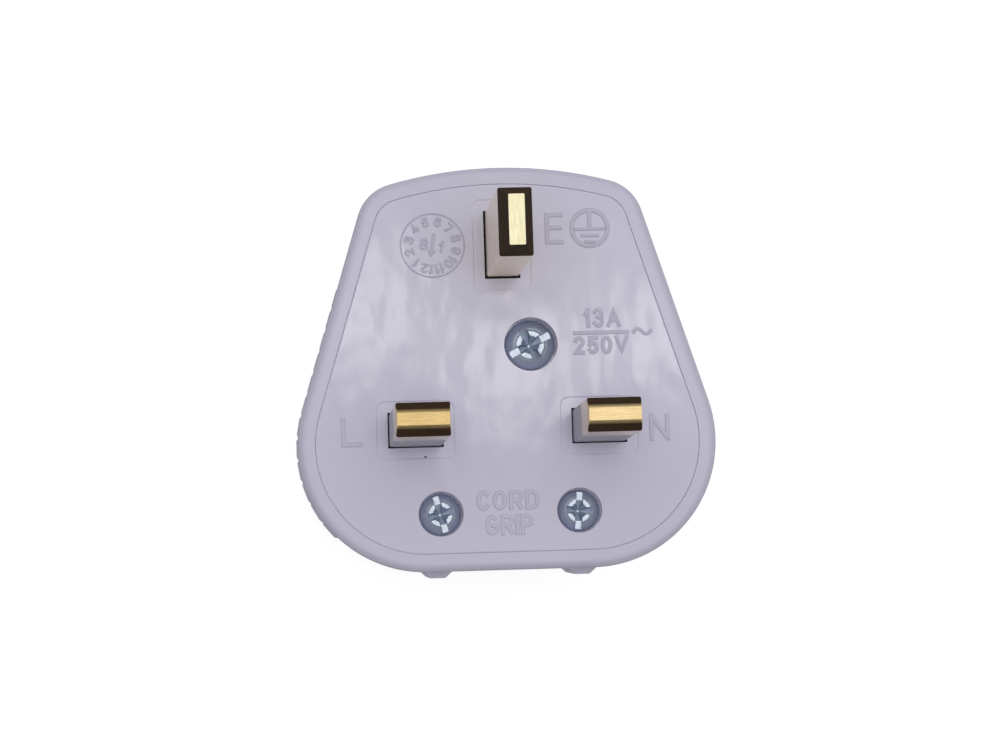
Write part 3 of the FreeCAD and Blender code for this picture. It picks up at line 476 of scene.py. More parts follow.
def metal_grain():
    """Fine parallel lines along one direction, a slow stain and small pits."""
    found = bpy.data.node_groups.get("metal_grain")
    if found:
        return found
    tree, graph, enter, leave = group_tree("metal_grain", GRAIN_SCALES, ("Line", "Stain", "Pit"))
    place = enter["Position"]
    stretch = vector(graph, enter["Scale X"], enter["Scale Y"], enter["Scale Z"])
    lines = graph.vectors("MULTIPLY", place, stretch)["Vector"]
    pits = graph.noise(place, enter["Pit Scale"], detail=1.0)
    results = {
        "Line": graph.noise(lines, 1.0, detail=3.0, roughness=0.6),
        "Stain": graph.noise(place, enter["Stain Scale"], detail=3.0),
        "Pit": graph.ramp(pits, *PIT_EDGE),
    }
    return close_group(tree, leave, results)


def new_material(name):
    """A material with its shader, its output and a graph to add to."""
    material = bpy.data.materials.new(name)
    material.use_nodes = True
    material.node_tree.nodes.clear()
    graph = Graph(material.node_tree)
    shader = graph.add("ShaderNodeBsdfPrincipled")
    graph.add("ShaderNodeOutputMaterial", {"Surface": shader.outputs[0]})
    place = graph.add("ShaderNodeTexCoord").outputs["Object"]
    return material, graph, shader, place


def bumped(graph, layers):
    """A normal from several heights, each with its real depth in metres."""
    normal = None
    for height, depth in layers:
        inputs = {"Height": height, "Distance": depth, "Strength": 1.0}
        if normal:
            inputs["Normal"] = normal
        normal = graph.add("ShaderNodeBump", inputs).outputs[0]
    return normal


def wire(graph, shader, sockets):
    """Link varying results to a shader's inputs."""
    for name, socket in sockets.items():
        graph.tree.links.new(socket, shader.inputs[name])


def surface_rise(graph):
    """How far a face looks up: 1 where it is level and 0 where it is upright."""
    normal = graph.add("ShaderNodeNewGeometry").outputs["True Normal"]
    return graph.parts(normal)["Z"]


def plastic_finish(name, rgb, rough, ripple, grain, speck=None, painted_slope_shade=None, dull_walls=False):
    """Moulded plastic: clouded colour, sink ripple, fine grain and rare flecks. It may have one dark speck,
    slopes given a lighter or darker copy of the colour as painted light and shade, and dull walls under a
    polished top."""
    material, graph, shader, place = new_material(name)
    skin = graph.group(moulded_skin(), {"Position": place})
    base = graph.mix(skin["Cloud"], shade(rgb, CLOUD_SHADES[0]), shade(rgb, CLOUD_SHADES[1]))
    base = graph.mix(graph.times(skin["Fleck"], FLECK_WEIGHT), base, shade(rgb, FLECK_SHADE))
    if speck:
        away = graph.vectors("DISTANCE", place, speck)["Value"]
        base = graph.mix(graph.ramp(away, *SPECK_EDGE), base, shade(SPECK_COLOUR))
    # Painted light and shade: sloped faces get a lighter or darker copy of the colour
    if painted_slope_shade:
        base = graph.mix(graph.ramp(surface_rise(graph), *SLOPE_RISE), base, shade(rgb, painted_slope_shade))
    uneven = graph.plus(skin["Grain"], skin["Cloud"])
    sockets = {
        "Base Color": base,
        "Roughness": graph.ramp(uneven, *UNEVEN_RANGE, *rough),
        "Normal": bumped(graph, ((skin["Ripple"], ripple * MM), (skin["Grain"], grain * MM))),
    }
    if dull_walls:
        sockets["Coat Weight"] = graph.ramp(surface_rise(graph), *TOP_RISE, WALL_POLISH, 1.0)
        shader.inputs["Coat Roughness"].default_value = rough[0]
        shader.inputs["Specular IOR Level"].default_value = 0.0
    wire(graph, shader, sockets)
    shader.inputs["IOR"].default_value = PLASTIC_IOR
    return material


def metal_colour(graph, place, rgb, stained, scales):
    """The grain of a metal and its colour, darker in the grain lines and pits."""
    inputs = {"Position": place, "Scale X": scales[0], "Scale Y": scales[1], "Scale Z": scales[2]}
    grain = graph.group(metal_grain(), inputs)
    base = graph.mix(grain["Stain"], shade(rgb, SHINE_SHADE), shade(stained))
    lines = graph.ramp(grain["Line"], *LINE_RANGE, 0.0, LINE_WEIGHT)
    base = graph.mix(lines, base, shade(rgb, LINE_SHADE))
    return grain, graph.mix(graph.times(grain["Pit"], PIT_WEIGHT), base, shade(rgb, PIT_SHADE))


def metal_finish(name, rgb, stained, rough, scales, depth):
    """Drawn or plated metal: grain lines, a slow stain and small pits."""
    material, graph, shader, place = new_material(name)
    grain, base = metal_colour(graph, place, rgb, stained, scales)
    sockets = {
        "Base Color": base,
        "Roughness": graph.ramp(grain["Line"], *ROUGH_RANGE, *rough),
        "Normal": bumped(graph, ((grain["Line"], depth * MM), (grain["Pit"], -depth * MM))),
    }
    wire(graph, shader, sockets)
    shader.inputs["Metallic"].default_value = 1.0
    return material


def pin_finish(name, rgb, bevel, side, scales, line=False):
    """Brass of a pin: a bright grained end, bevels painted a dull dark colour as painted shade, smooth
    sides given their own colour as a painted reflection, and a root painted black as painted shade. On a
    line pin the painted shade on the bevels fades out next to the end, and a painted shadow line runs along
    the sleeve."""
    material, graph, shader, place = new_material(name)
    grain, base = metal_colour(graph, place, rgb, [c * s for c, s in zip(rgb, BRASS_STAIN)], scales)
    parts = graph.parts(place)
    rise = surface_rise(graph)
    # Painted shade mask: the sloped bevels between a flat end and the upright sides
    dark = graph.times(graph.ramp(rise, *BEVEL_RISE), graph.ramp(rise, *FLAT_RISE))
    if line:
        off = graph.math("ABSOLUTE", graph.minus(parts["Y"], LINE_Y))
        dark = graph.times(dark, graph.ramp(off, LINE_FLAT, LINE_FLAT + BEVEL_SHADE_FADE))
    upright = graph.ramp(rise, *SIDE_RISE)
    # Painted reflection: upright sides take their own colour
    base = graph.mix(graph.times(upright, SIDE_REFLECTION_WEIGHT), base, shade(side))
    # The painted dark bevel colour, varied by the grain
    dressed = graph.mix(grain["Line"], shade(bevel, BEVEL_SHADES[0]), shade(bevel, BEVEL_SHADES[1]))
    base = graph.mix(dark, base, dressed)
    # Painted shadow band just above the sleeve
    if line:
        above = graph.minus(parts["Z"], SLEEVE_END_Z + SLEEVE_SHADOW_RISE)
        sleeve_shadow = graph.ramp(graph.math("ABSOLUTE", above), *SLEEVE_SHADOW_EDGE, 0.0, SLEEVE_SHADOW_WEIGHT)
        base = graph.mix(sleeve_shadow, base, shade(bevel, SLEEVE_SHADOW_SHADE))
    # Painted shade inside the slot, below the face
    painted_root_shade = graph.ramp(parts["Z"], FACE_Z - ROOT_SHADE_EDGE[0], FACE_Z - ROOT_SHADE_EDGE[1])
    base = graph.mix(painted_root_shade, base, shade(bevel, ROOT_PAINTED_SHADE))
    lines = graph.times(grain["Line"], graph.minus(1.0, upright))
    sockets = {
        "Base Color": base,
        "Roughness": graph.ramp(lines, 0.0, ROUGH_RANGE[1], *PIN_ROUGH),
        "Metallic": graph.minus(1.0, graph.math("MAXIMUM", dark, painted_root_shade)),
        "Normal": bumped(graph, ((lines, PIN_LINE_DEPTH), (grain["Pit"], -PIN_PIT_DEPTH))),
    }
    wire(graph, shader, sockets)
    # Painted shade is non-metal with no specular, so that it stays dark
    shader.inputs["Specular IOR Level"].default_value = 0.0
    return material


def wear(node, material):
    """Give a solid its finish."""
    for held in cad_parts[node].material_slots:
        held.material = material


def new_piece(name, mesh, material, slot, *replaced):
    """A finished piece that rides on the plug."""
    mesh.name = name
    mesh.materials.clear()
    mesh.materials.append(material)
    piece = bpy.data.objects.new(name, mesh)
    bpy.context.scene.collection.objects.link(piece)
    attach(piece, BODY)
    if replaced:
        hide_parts(*replaced)
    return piece


def evaluated_mesh(thing):
    """The final mesh of an object that is then removed."""
    bpy.context.scene.collection.objects.link(thing)
    bpy.context.view_layer.update()
    graph = bpy.context.evaluated_depsgraph_get()
    mesh = bpy.data.meshes.new_from_object(thing.evaluated_get(graph))
    bpy.data.objects.remove(thing)
    return mesh


def joined(name, meshes):
    """One mesh of several closed ones, each welded, with faces turned outwards and soft edges smooth."""
    whole = bmesh.new()
    for mesh in meshes:
        work = bmesh.new()
        work.from_mesh(mesh)
        bmesh.ops.remove_doubles(work, verts=work.verts, dist=MM * MM)
        bmesh.ops.recalc_face_normals(work, faces=work.faces)
        work.to_mesh(mesh)
        work.free()
        whole.from_mesh(mesh)
        bpy.data.meshes.remove(mesh)
    result = bpy.data.meshes.new(name)
    whole.to_mesh(result)
    whole.free()
    result.shade_smooth()
    result.set_sharp_from_angle(angle=SHARP_ANGLE)
    return result


def bow(x, y, half_width, half_height, start, end, count=18):
    """Points along a part of an ellipse, between two angles in degrees."""
    angles = [math.radians(start + (end - start) * k / count) for k in range(count + 1)]
    return [(x + half_width * math.cos(a), y + half_height * math.sin(a)) for a in angles]


def ripple_line():
    """Points along one wave."""
    return [(k / 20, 0.5 + 0.5 * math.sin(2 * math.pi * k / 20)) for k in range(21)]


# Middle lines of plain upright letters and numbers, each in a cell from 0 to 1
GLYPHS = {
    "0": [bow(0.5, 0.5, 0.5, 0.5, 0, 360, 32)],
    "1": [[(0.85, 0.0), (0.85, 1.0)], [(0.8, 0.9), (0.1, 0.72)]],
    "2": [bow(0.5, 0.72, 0.48, 0.28, 160, -25) + [(0.04, 0.0), (1.0, 0.0)]],
    "3": [bow(0.47, 0.765, 0.45, 0.235, 155, -88) + bow(0.47, 0.265, 0.53, 0.265, 88, -155)],
    "4": [[(0.72, 0.0), (0.72, 1.0)], [(0.66, 0.9), (0.02, 0.3), (1.0, 0.3)]],
    "5": [[(0.92, 1.0), (0.15, 1.0), (0.15, 0.58)], bow(0.48, 0.33, 0.5, 0.33, 142, -150)],
    "6": [bow(0.5, 0.31, 0.5, 0.31, 0, 360, 28), bow(0.54, 0.56, 0.54, 0.44, 40, 195)],
    "7": [[(0.0, 1.0), (0.95, 1.0), (0.38, 0.0)]],
    "8": [bow(0.5, 0.76, 0.42, 0.24, 0, 360, 28), bow(0.5, 0.26, 0.5, 0.26, 0, 360, 28)],
    "9": [bow(0.5, 0.69, 0.5, 0.31, 0, 360, 28), bow(0.46, 0.44, 0.54, 0.44, 15, -140)],
    "A": [[(0.0, 0.0), (0.5, 0.93), (1.0, 0.0)], [(0.27, 0.32), (0.73, 0.32)]],
    "C": [bow(0.5, 0.5, 0.5, 0.5, 48, 312, 28)],
    "D": [[(0.0, 0.0), (0.0, 1.0)] + bow(0.45, 0.5, 0.55, 0.5, 90, -90) + [(0.0, 0.0)]],
    "E": [[(1.0, 1.0), (0.0, 1.0), (0.0, 0.0), (1.0, 0.0)], [(0.2, 0.53), (0.9, 0.53)]],
    "G": [bow(0.5, 0.5, 0.5, 0.5, 48, 325, 28) + [(1.0, 0.22), (1.0, 0.46), (0.62, 0.46)]],
    "I": [[(0.5, 0.0), (0.5, 1.0)]],
    "L": [[(0.0, 1.0), (0.0, 0.0), (1.0, 0.0)]],
    "N": [[(0.0, 0.0), (0.0, 1.0)], [(0.06, 0.93), (0.94, 0.07)], [(1.0, 0.0), (1.0, 1.0)]],
    "O": [bow(0.5, 0.5, 0.5, 0.5, 0, 360, 36)],
    "P": [
        [(0.0, 0.46), (0.0, 1.0)] + bow(0.6, 0.73, 0.4, 0.27, 90, -90) + [(0.0, 0.46)],
        [(0.0, 0.0), (0.0, 0.5)],
    ],
    "R": [
        [(0.0, 0.48), (0.0, 1.0)] + bow(0.6, 0.74, 0.4, 0.26, 90, -90) + [(0.0, 0.48)],
        [(0.0, 0.0), (0.0, 0.5)],
        [(0.6, 0.42), (0.96, 0.05)],
    ],
    "V": [[(0.0, 1.0), (0.5, 0.07), (1.0, 1.0)]],
    "~": [ripple_line()],
}
CLOSED_GAP = 1e-6
MITRE_LIMIT = 0.55
ORDER_STEP = 0.004


def stroke_outlines(points, width):
    """Outlines of a line of even width with square ends: one for an open line, two for a closed one."""
    closed = math.dist(points[0], points[-1]) < CLOSED_GAP
    line = [Vector(p) for p in (points[:-1] if closed else points)]
    left, right = [], []
    for index, place in enumerate(line):
        first = index == 0 and not closed
        last = index == len(line) - 1 and not closed
        after = line[(index + 1) % len(line)]
        run_in = (after - place if first else place - line[index - 1]).normalized()
        run_out = run_in if last else (after - place).normalized()
        along = (run_in + run_out).normalized()
        across = Vector((-along.y, along.x))
        half = width / 2 / max(along.dot(run_in), MITRE_LIMIT)
        cap = run_in * (width / 2 * (int(last) - int(first)))
        left.append(tuple(place + cap + across * half))
        right.append(tuple(place + cap - across * half))
    if closed:
        return [left, right]
    return [left + right[::-1]]


def raised(outlines, order=0):
    """A raised mark on the face from closed outlines in millimetres; an inner outline is a hole. Lines that
    cross have different orders, so that their tops are not quite level."""
    marks = bpy.context.scene.plug_marks
    relief, sink, edge = (value / MM for value in (marks.relief, marks.sink, marks.edge))
    relief += order * ORDER_STEP
    curve = bpy.data.curves.new("outline", "CURVE")
    curve.dimensions = "2D"
    curve.fill_mode = "BOTH"
    for points in outlines:
        spline = curve.splines.new("POLY")
        spline.points.add(len(points) - 1)
        for held, (x, y) in zip(spline.points, points):
            held.co = (x, y, 0.0, 1.0)
        spline.use_cyclic_u = True
    curve.extrude = (relief + sink) / 2 - edge
    curve.bevel_depth = edge
    curve.bevel_resolution = 1
    curve.offset = -edge
    mesh = evaluated_mesh(bpy.data.objects.new("mark", curve))
    bpy.data.curves.remove(curve)
    level = FACE_Z / MM + (relief - sink) / 2
    mesh.transform(Matrix.Translation((0.0, LINE_Y / MM, level)))
    mesh.transform(Matrix.Scale(MM, 4))
    return mesh


def glyph_lines(char, cell, stroke):
    """The middle lines of a letter that fills a cell: left, right, low and high."""
    left, low = cell[0] + stroke / 2, cell[2] + stroke / 2
    width, height = cell[1] - cell[0] - stroke, cell[3] - cell[2] - stroke
    return [[(left + u * width, low + v * height) for u, v in line] for line in GLYPHS[char]]


def word_marks(text, box, stroke):
    """The raised letters of a word that fills a box."""
    spans = [GLYPH_WIDTHS.get(char, USUAL_WIDTH) for char in text]
    scale = (box[1] - box[0]) / (sum(spans) + LETTER_GAP * (len(text) - 1))
    left = box[0]
    meshes = []
    for char, span in zip(text, spans):
        cell = (left, left + span * scale, box[2], box[3])
        for order, line in enumerate(glyph_lines(char, cell, stroke)):
            meshes.append(raised(stroke_outlines(line, stroke), order))
        left += (span + LETTER_GAP) * scale
    return meshes


def boxed_words(boxes, stroke):
    """The raised letters of several words, each in its box."""
    return [mesh for text, box in boxes.items() for mesh in word_marks(text, box, stroke)]


def circle(radius, place, count=72):
    """Points round a circle."""
    return bow(place[0], place[1], radius, radius, 0, 360, count)[:-1]


def bar(left, right, low, high):
    """Corners of an upright rectangle."""
    return [(left, low), (right, low), (right, high), (left, high)]


def earth_sign(marks):
    """A ring round an upright line on three level lines, each shorter than the one above it."""
    x, y = EARTH_SIGN_PLACE
    radius = marks.sign_diameter / MM / 2
    line = marks.sign_line / MM
    inner = radius - line
    outlines = [[circle(radius, EARTH_SIGN_PLACE), circle(inner, EARTH_SIGN_PLACE)]]
    outlines.append([bar(x - line / 2, x + line / 2, y, y + inner + line / 2)])
    for drop, half in SIGN_BARS:
        low = y - drop * radius
        outlines.append([bar(x - half * radius, x + half * radius, low, low + SIGN_BAR_HEIGHT)])
    return [raised(held, order) for order, held in enumerate(outlines)]


def turned(points, turn, place):
    """Points turned round the middle of the dial and moved to a place."""
    cos, sin = math.cos(turn), math.sin(turn)
    return [(place[0] + cos * x - sin * y, place[1] + sin * x + cos * y) for x, y in points]


def number_marks(text, height, radius, angle, turn):
    """A raised number of one or two figures, centred on a place round the dial."""
    place = (DIAL_PLACE[0] + radius * math.cos(angle), DIAL_PLACE[1] + radius * math.sin(angle))
    widths = [height * NUMBER_WIDTHS.get(char, NUMBER_WIDTH) for char in text]
    gap = height * NUMBER_GAP
    left = -(sum(widths) + gap * (len(text) - 1)) / 2
    meshes = []
    for char, width in zip(text, widths):
        cell = (left, left + width, -height / 2, height / 2)
        left += width + gap
        for order, line in enumerate(glyph_lines(char, cell, NUMBER_STROKE)):
            outlines = stroke_outlines(line, NUMBER_STROKE)
            meshes.append(raised([turned(held, turn, place) for held in outlines], order))
    return meshes


def date_dial(marks):
    """A thin ring, twelve numbers that read round it, and an arrow between two numbers."""
    radius = marks.dial_diameter / MM / 2
    line = marks.dial_line / MM
    height = marks.number_height / MM
    meshes = [raised([circle(radius, DIAL_PLACE), circle(radius - line, DIAL_PLACE)])]
    for number in range(DIAL_COUNT):
        angle = math.radians(DIAL_FIRST_ANGLE + number * DIAL_STEP_ANGLE)
        around = marks.number_radius / MM
        meshes += number_marks(str(number + 1), height, around, angle, angle - math.pi / 2)
    arrow = math.radians(DIAL_ARROW_ANGLE)
    meshes.append(raised([turned(DIAL_ARROW, arrow, DIAL_PLACE)]))
    for text, side in zip(DIAL_YEAR, (-1, 1)):
        angle = arrow + side * math.pi / 2
        meshes += number_marks(text, height * YEAR_GROWTH, DIAL_YEAR_RADIUS, angle, arrow + math.pi / 2)
    return meshes


SCREW_INPUTS = (
    "Head Diameter",
    "Head Height",
    "Dome",
    "Shank Diameter",
    "Shank Length",
    "Thread Pitch",
    "Thread Depth",
    "Slot Width",
    "Slot Depth",
    "Cross Span",
    "Cross Depth",
)


def turned_grid(graph, rings):
    """A grid to be rolled up: its mesh, the share along it and the angle round it."""
    sizes = {"Size X": 1.0, "Size Y": 1.0, "Vertices X": rings, "Vertices Y": TURNED_SEGMENTS + 1}
    grid = graph.add("GeometryNodeMeshGrid", sizes).outputs["Mesh"]
    place = graph.add("GeometryNodeInputPosition").outputs[0]
    parts = graph.parts(place)
    along = graph.plus(parts["X"], 0.5)
    angle = graph.times(graph.plus(parts["Y"], 0.5), 2 * math.pi)
    return grid, along, angle


def rolled(graph, grid, radius, angle, height):
    """The grid rolled round the axis and welded to a closed solid."""
    x = graph.times(radius, graph.math("COSINE", angle))
    y = graph.times(radius, graph.math("SINE", angle))
    inputs = {"Geometry": grid, "Position": vector(graph, x, y, height)}
    solid = graph.add("GeometryNodeSetPosition", inputs).outputs[0]
    return graph.add("GeometryNodeMergeByDistance", {"Geometry": solid, "Distance": WELD_GAP}).outputs[0]


def screw_head(graph, size):
    """A rounded head with its top at zero: a full dome, an upright side and a flat seat."""
    grid, along, angle = turned_grid(graph, HEAD_RINGS)
    bend = graph.times(graph.ramp(along, 0.0, DOME_SHARE), math.pi / 2)
    side = graph.ramp(along, DOME_SHARE, SEAT_SHARE)
    seat = graph.ramp(along, SEAT_SHARE, 1.0, 1.0, 0.0)
    up = graph.math("MAXIMUM", graph.math("COSINE", bend), 0.0)
    half = graph.times(size["Head Diameter"], 0.5)
    radius = graph.times(graph.times(half, graph.math("SINE", bend)), seat)
    fall = graph.times(size["Dome"], graph.minus(up, 1.0))
    drop = graph.times(graph.minus(size["Dome"], size["Head Height"]), side)
    return rolled(graph, grid, radius, angle, graph.plus(fall, drop))


def screw_shank(graph, size):
    """A threaded shank under the head, with flat ends."""
    grid, along, angle = turned_grid(graph, SHANK_RINGS)
    ring = 1.0 / (SHANK_RINGS - 1)
    inner = graph.ramp(along, ring, 1.0 - ring)
    closed = graph.times(graph.ramp(along, 0.0, ring), graph.ramp(along, 1.0 - ring, 1.0, 1.0, 0.0))
    root = graph.times(size["Head Height"], SHANK_OVERLAP - 1.0)
    hidden = graph.times(size["Head Height"], SHANK_OVERLAP)
    reach = graph.plus(size["Shank Length"], hidden)
    height = graph.minus(root, graph.times(reach, inner))
    turns = graph.math("DIVIDE", height, size["Thread Pitch"])
    turns = graph.plus(turns, graph.math("DIVIDE", angle, 2 * math.pi))
    phase = graph.math("FRACT", turns)
    flank = graph.math("ABSOLUTE", graph.minus(graph.times(phase, 2.0), 1.0))
    cut = graph.times(flank, graph.ramp(inner, *THREAD_START))
    cut = graph.math("MAXIMUM", cut, graph.ramp(inner, *THREAD_END))
    half = graph.times(size["Shank Diameter"], 0.5)
    radius = graph.minus(half, graph.times(cut, size["Thread Depth"]))
    return rolled(graph, grid, graph.times(radius, closed), angle, height)


def moved(graph, mesh, shift=None, turn=None, scale=None):
    """A mesh that is scaled, turned and shifted."""
    inputs = {"Geometry": mesh}
    for name, value in (("Translation", shift), ("Rotation", turn), ("Scale", scale)):
        if value is not None:
            inputs[name] = value
    return graph.add("GeometryNodeTransform", inputs).outputs[0]


def round_cone(graph, span, top, bottom, height):
    """A round cone that stands on its narrow end, with its radii as shares of a span."""
    inputs = {
        "Vertices": CONE_SEGMENTS,
        "Radius Top": graph.times(span, top),
        "Radius Bottom": graph.times(span, bottom),
        "Depth": height,
    }
    return graph.add("GeometryNodeMeshCone", inputs).outputs["Mesh"]


def driver_recess(graph, size):
    """The cutters of a driver recess: a slot right across, two wings, a well and a stepped dish."""
    across = graph.times(size["Head Diameter"], 2.0)
    deep = graph.times(size["Slot Depth"], 2.0)
    box = vector(graph, size["Slot Width"], across, deep)
    slot = graph.add("GeometryNodeMeshCube", {"Size": box}).outputs[0]
    low = vector(graph, 0.0, 0.0, graph.times(size["Cross Depth"], -1.0))
    tall = graph.times(size["Cross Depth"], RECESS_RISE)
    corner = graph.times(size["Cross Span"], math.sqrt(0.5))
    pyramid = {
        "Vertices": 4,
        "Radius Top": graph.times(corner, WING_TOP),
        "Radius Bottom": graph.times(corner, WING_TIP),
        "Depth": tall,
    }
    square = graph.add("GeometryNodeMeshCone", pyramid).outputs["Mesh"]
    square = moved(graph, square, turn=(0.0, 0.0, math.pi / 4))
    thin = graph.math("DIVIDE", graph.times(size["Slot Width"], WING_WIDTH), size["Cross Span"])
    first = moved(graph, square, shift=low, scale=vector(graph, thin, 1.0, 1.0))
    second = moved(graph, square, shift=low, scale=vector(graph, 1.0, thin, 1.0))
    well = moved(graph, round_cone(graph, size["Cross Span"], WELL_TOP, WELL_BOTTOM, tall), shift=low)
    return [slot, first, second, well, round_step(graph, size, **DISH), round_step(graph, size, **FLARE)]


def round_step(graph, size, level, rise, inner, outer):
    """A cone from one level up, both as shares of the dome, that opens from an inner to an outer radius."""
    tall = graph.times(size["Dome"], rise)
    low = vector(graph, 0.0, 0.0, graph.times(size["Dome"], level))
    return moved(graph, round_cone(graph, size["Cross Span"], outer, inner, tall), shift=low)


def exact_solid(graph, operation, inputs):
    """Meshes that are joined or cut."""
    return graph.add("GeometryNodeMeshBoolean", inputs, operation=operation, solver="EXACT").outputs["Mesh"]


def screw_tree():
    """Nodes that put a screw with a driver recess on every point, turned by the point's own angle."""
    tree = bpy.data.node_groups.new("driver_screw", "GeometryNodeTree")
    new_socket(tree, "Geometry", "Geometry")
    for name in SCREW_INPUTS:
        new_socket(tree, name, "Float").subtype = "DISTANCE"
    new_socket(tree, "Material", "Material")
    new_socket(tree, "Geometry", "Geometry", "OUTPUT")
    graph = Graph(tree)
    enter = graph.add("NodeGroupInput").outputs
    whole = {"Mesh 2": [screw_head(graph, enter), screw_shank(graph, enter)]}
    blank = exact_solid(graph, "UNION", whole)
    cuts = {"Mesh 1": blank, "Mesh 2": driver_recess(graph, enter)}
    screw = exact_solid(graph, "DIFFERENCE", cuts)
    turn = graph.add("GeometryNodeInputNamedAttribute", {"Name": "turn"}, data_type="FLOAT").outputs[0]
    angle = graph.add("FunctionNodeEulerToRotation", {0: vector(graph, 0.0, 0.0, turn)}).outputs[0]
    placed = {"Points": enter["Geometry"], "Instance": screw, "Rotation": angle}
    copies = graph.add("GeometryNodeInstanceOnPoints", placed).outputs[0]
    real = graph.add("GeometryNodeRealizeInstances", {0: copies}).outputs[0]
    dressed = {"Geometry": real, "Material": enter["Material"]}
    graph.add("NodeGroupOutput", {0: graph.add("GeometryNodeSetMaterial", dressed).outputs[0]})
    return tree


def screw_mesh(tree, places, turns, sizes, material):
    """The mesh of the screws on a set of places."""
    points = bpy.data.meshes.new("screw_places")
    points.from_pydata([tuple(p) for p in places], [], [])
    angles = points.attributes.new("turn", "FLOAT", "POINT")
    for held, turn in zip(angles.data, turns):
        held.value = turn
    carrier = bpy.data.objects.new("screw_places", points)
    modifier = carrier.modifiers.new("screws", "NODES")
    modifier.node_group = tree
    for item in tree.interface.items_tree:
        if item.in_out == "INPUT" and item.name in sizes:
            modifier[item.identifier] = sizes[item.name]
        if item.in_out == "INPUT" and item.name == "Material":
            modifier[item.identifier] = material
    return evaluated_mesh(carrier)


def screw_sizes(screws, node, head, shank):
    """The sizes of one kind of screw, with its head's width and its length from the solid."""
    low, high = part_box(node)
    share = head / COVER_HEAD_HEIGHT
    return {
        "Head Diameter": high.y - low.y,
        "Head Height": head,
        "Dome": screws.dome * share,
        "Shank Diameter": shank,
        "Shank Length": high.z - low.z - head,
        "Thread Pitch": screws.thread_pitch * shank / COVER_SHANK,
        "Thread Depth": screws.thread_depth * shank / COVER_SHANK,
        "Slot Width": screws.slot_width * share,
        "Slot Depth": screws.slot_depth * share,
        "Cross Span": screws.cross_span * share,
        "Cross Depth": screws.cross_depth * share,
    }


class PLUG_OT_dress_housing(bpy.types.Operator):
    """Give the cover, the base and the cord grip their moulded plastic"""

    bl_idname = "plug.dress_housing"
    bl_label = "Dress housing"

    def execute(self, context):
        rgb = context.scene.plug_colours.plastic
        speck = (SPECK_PLACE[0] * MM, SPECK_PLACE[1] * MM + LINE_Y, FACE_Z - SPECK_DEPTH * MM)
        wear("base", plastic_finish("gloss_white_face", rgb, **FACE_SKIN, speck=speck, painted_slope_shade=SEAM_SLOPE_PAINTED_LIGHT))
        # Painted shade: the cover and cord grip get a darker copy of the plastic
        darker = [SHELL_PAINTED_SHADE * c for c in rgb]
        shell = plastic_finish("gloss_white_shell", darker, **SHELL_SKIN, dull_walls=True)
        wear("cover", shell)
        wear("grip_bar", shell)
        return {"FINISHED"}


class PLUG_OT_dress_pins(bpy.types.Operator):
    """Give the pins their drawn brass and the sleeves their satin plastic"""

    bl_idname = "plug.dress_pins"
    bl_label = "Dress pins"

    def execute(self, context):
        colours = context.scene.plug_colours
        line = (colours.line_painted_bevel_shade, colours.line_side_reflection, LINE_PIN_GRAIN, True)
        wear("live_pin", pin_finish("live_pin_brass", colours.live, *line))
        wear("neutral_pin", pin_finish("neutral_pin_brass", colours.neutral, *line))
        earth = pin_finish("earth_pin_brass", colours.earth, colours.bevel, colours.side, EARTH_PIN_GRAIN)
        wear("earth_pin", earth)
        sleeve = plastic_finish("satin_grey_sleeve", colours.sleeve, **SLEEVE_SKIN)
        for node in ("live_sleeve", "neutral_sleeve"):
            wear(node, sleeve)
        return {"FINISHED"}


class PLUG_OT_dress_works(bpy.types.Operator):
    """Give the fuse, its clips, the terminals and the nuts their finishes"""

    bl_idname = "plug.dress_works"
    bl_label = "Dress works"

    def execute(self, context):
        colours = context.scene.plug_colours
        brass = metal_finish("terminal_brass", colours.brass, **BRASS_SKIN)
        bronze = metal_finish("clip_bronze", colours.bronze, **BRONZE_SKIN)
        zinc = metal_finish("nut_zinc", colours.zinc, **NUT_SKIN)
        nickel = metal_finish("cap_nickel", colours.nickel, **NICKEL_SKIN)
        ceramic = plastic_finish("fuse_ceramic", colours.ceramic, **CERAMIC_SKIN)
        fibre = plastic_finish("washer_fibre", colours.fibre, **FIBRE_SKIN)
        finishes = (
            (brass, ("live_terminal", "cover_nut", "clip_rivets")),
            (bronze, ("lower_fuse_clip", "upper_fuse_clip")),
            (zinc, ("terminal_screws", "grip_nuts")),
            (nickel, ("lower_fuse_cap", "upper_fuse_cap")),
            (ceramic, ("fuse_barrel",)),
            (fibre, ("screw_washer",)),
        )
        for finish, nodes in finishes:
            for node in nodes:
                wear(node, finish)
        return {"FINISHED"}


class PLUG_OT_make_screws(bpy.types.Operator):
    """Make the threaded screws with rounded heads and driver recesses"""

    bl_idname = "plug.make_screws"
    bl_label = "Make screws"

    def execute(self, context):
        screws = context.scene.plug_screws
        zinc = metal_finish("screw_zinc", context.scene.plug_colours.zinc, **SCREW_SKIN)
        tree = screw_tree()
        low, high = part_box("cover_screw")
        middle = (low + high) / 2
        sizes = screw_sizes(screws, "cover_screw", COVER_HEAD_HEIGHT, COVER_SHANK)
        mesh = screw_mesh(tree, [(middle.x, middle.y, high.z)], [COVER_TURN], sizes, zinc)
        new_piece("cover_screw_threaded", joined("cover_screw", [mesh]), zinc, "zinc_steel", "cover_screw")
        low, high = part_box("grip_screws")
        head = high.y - low.y
        row = [(x, (low.y + high.y) / 2, high.z) for x in (low.x + head / 2, high.x - head / 2)]
        sizes = screw_sizes(screws, "grip_screws", GRIP_HEAD_HEIGHT, GRIP_SHANK)
        mesh = screw_mesh(tree, row, GRIP_TURNS, sizes, zinc)
        new_piece("grip_screws_threaded", joined("grip_screws", [mesh]), zinc, "zinc_steel", "grip_screws")
        return {"FINISHED"}


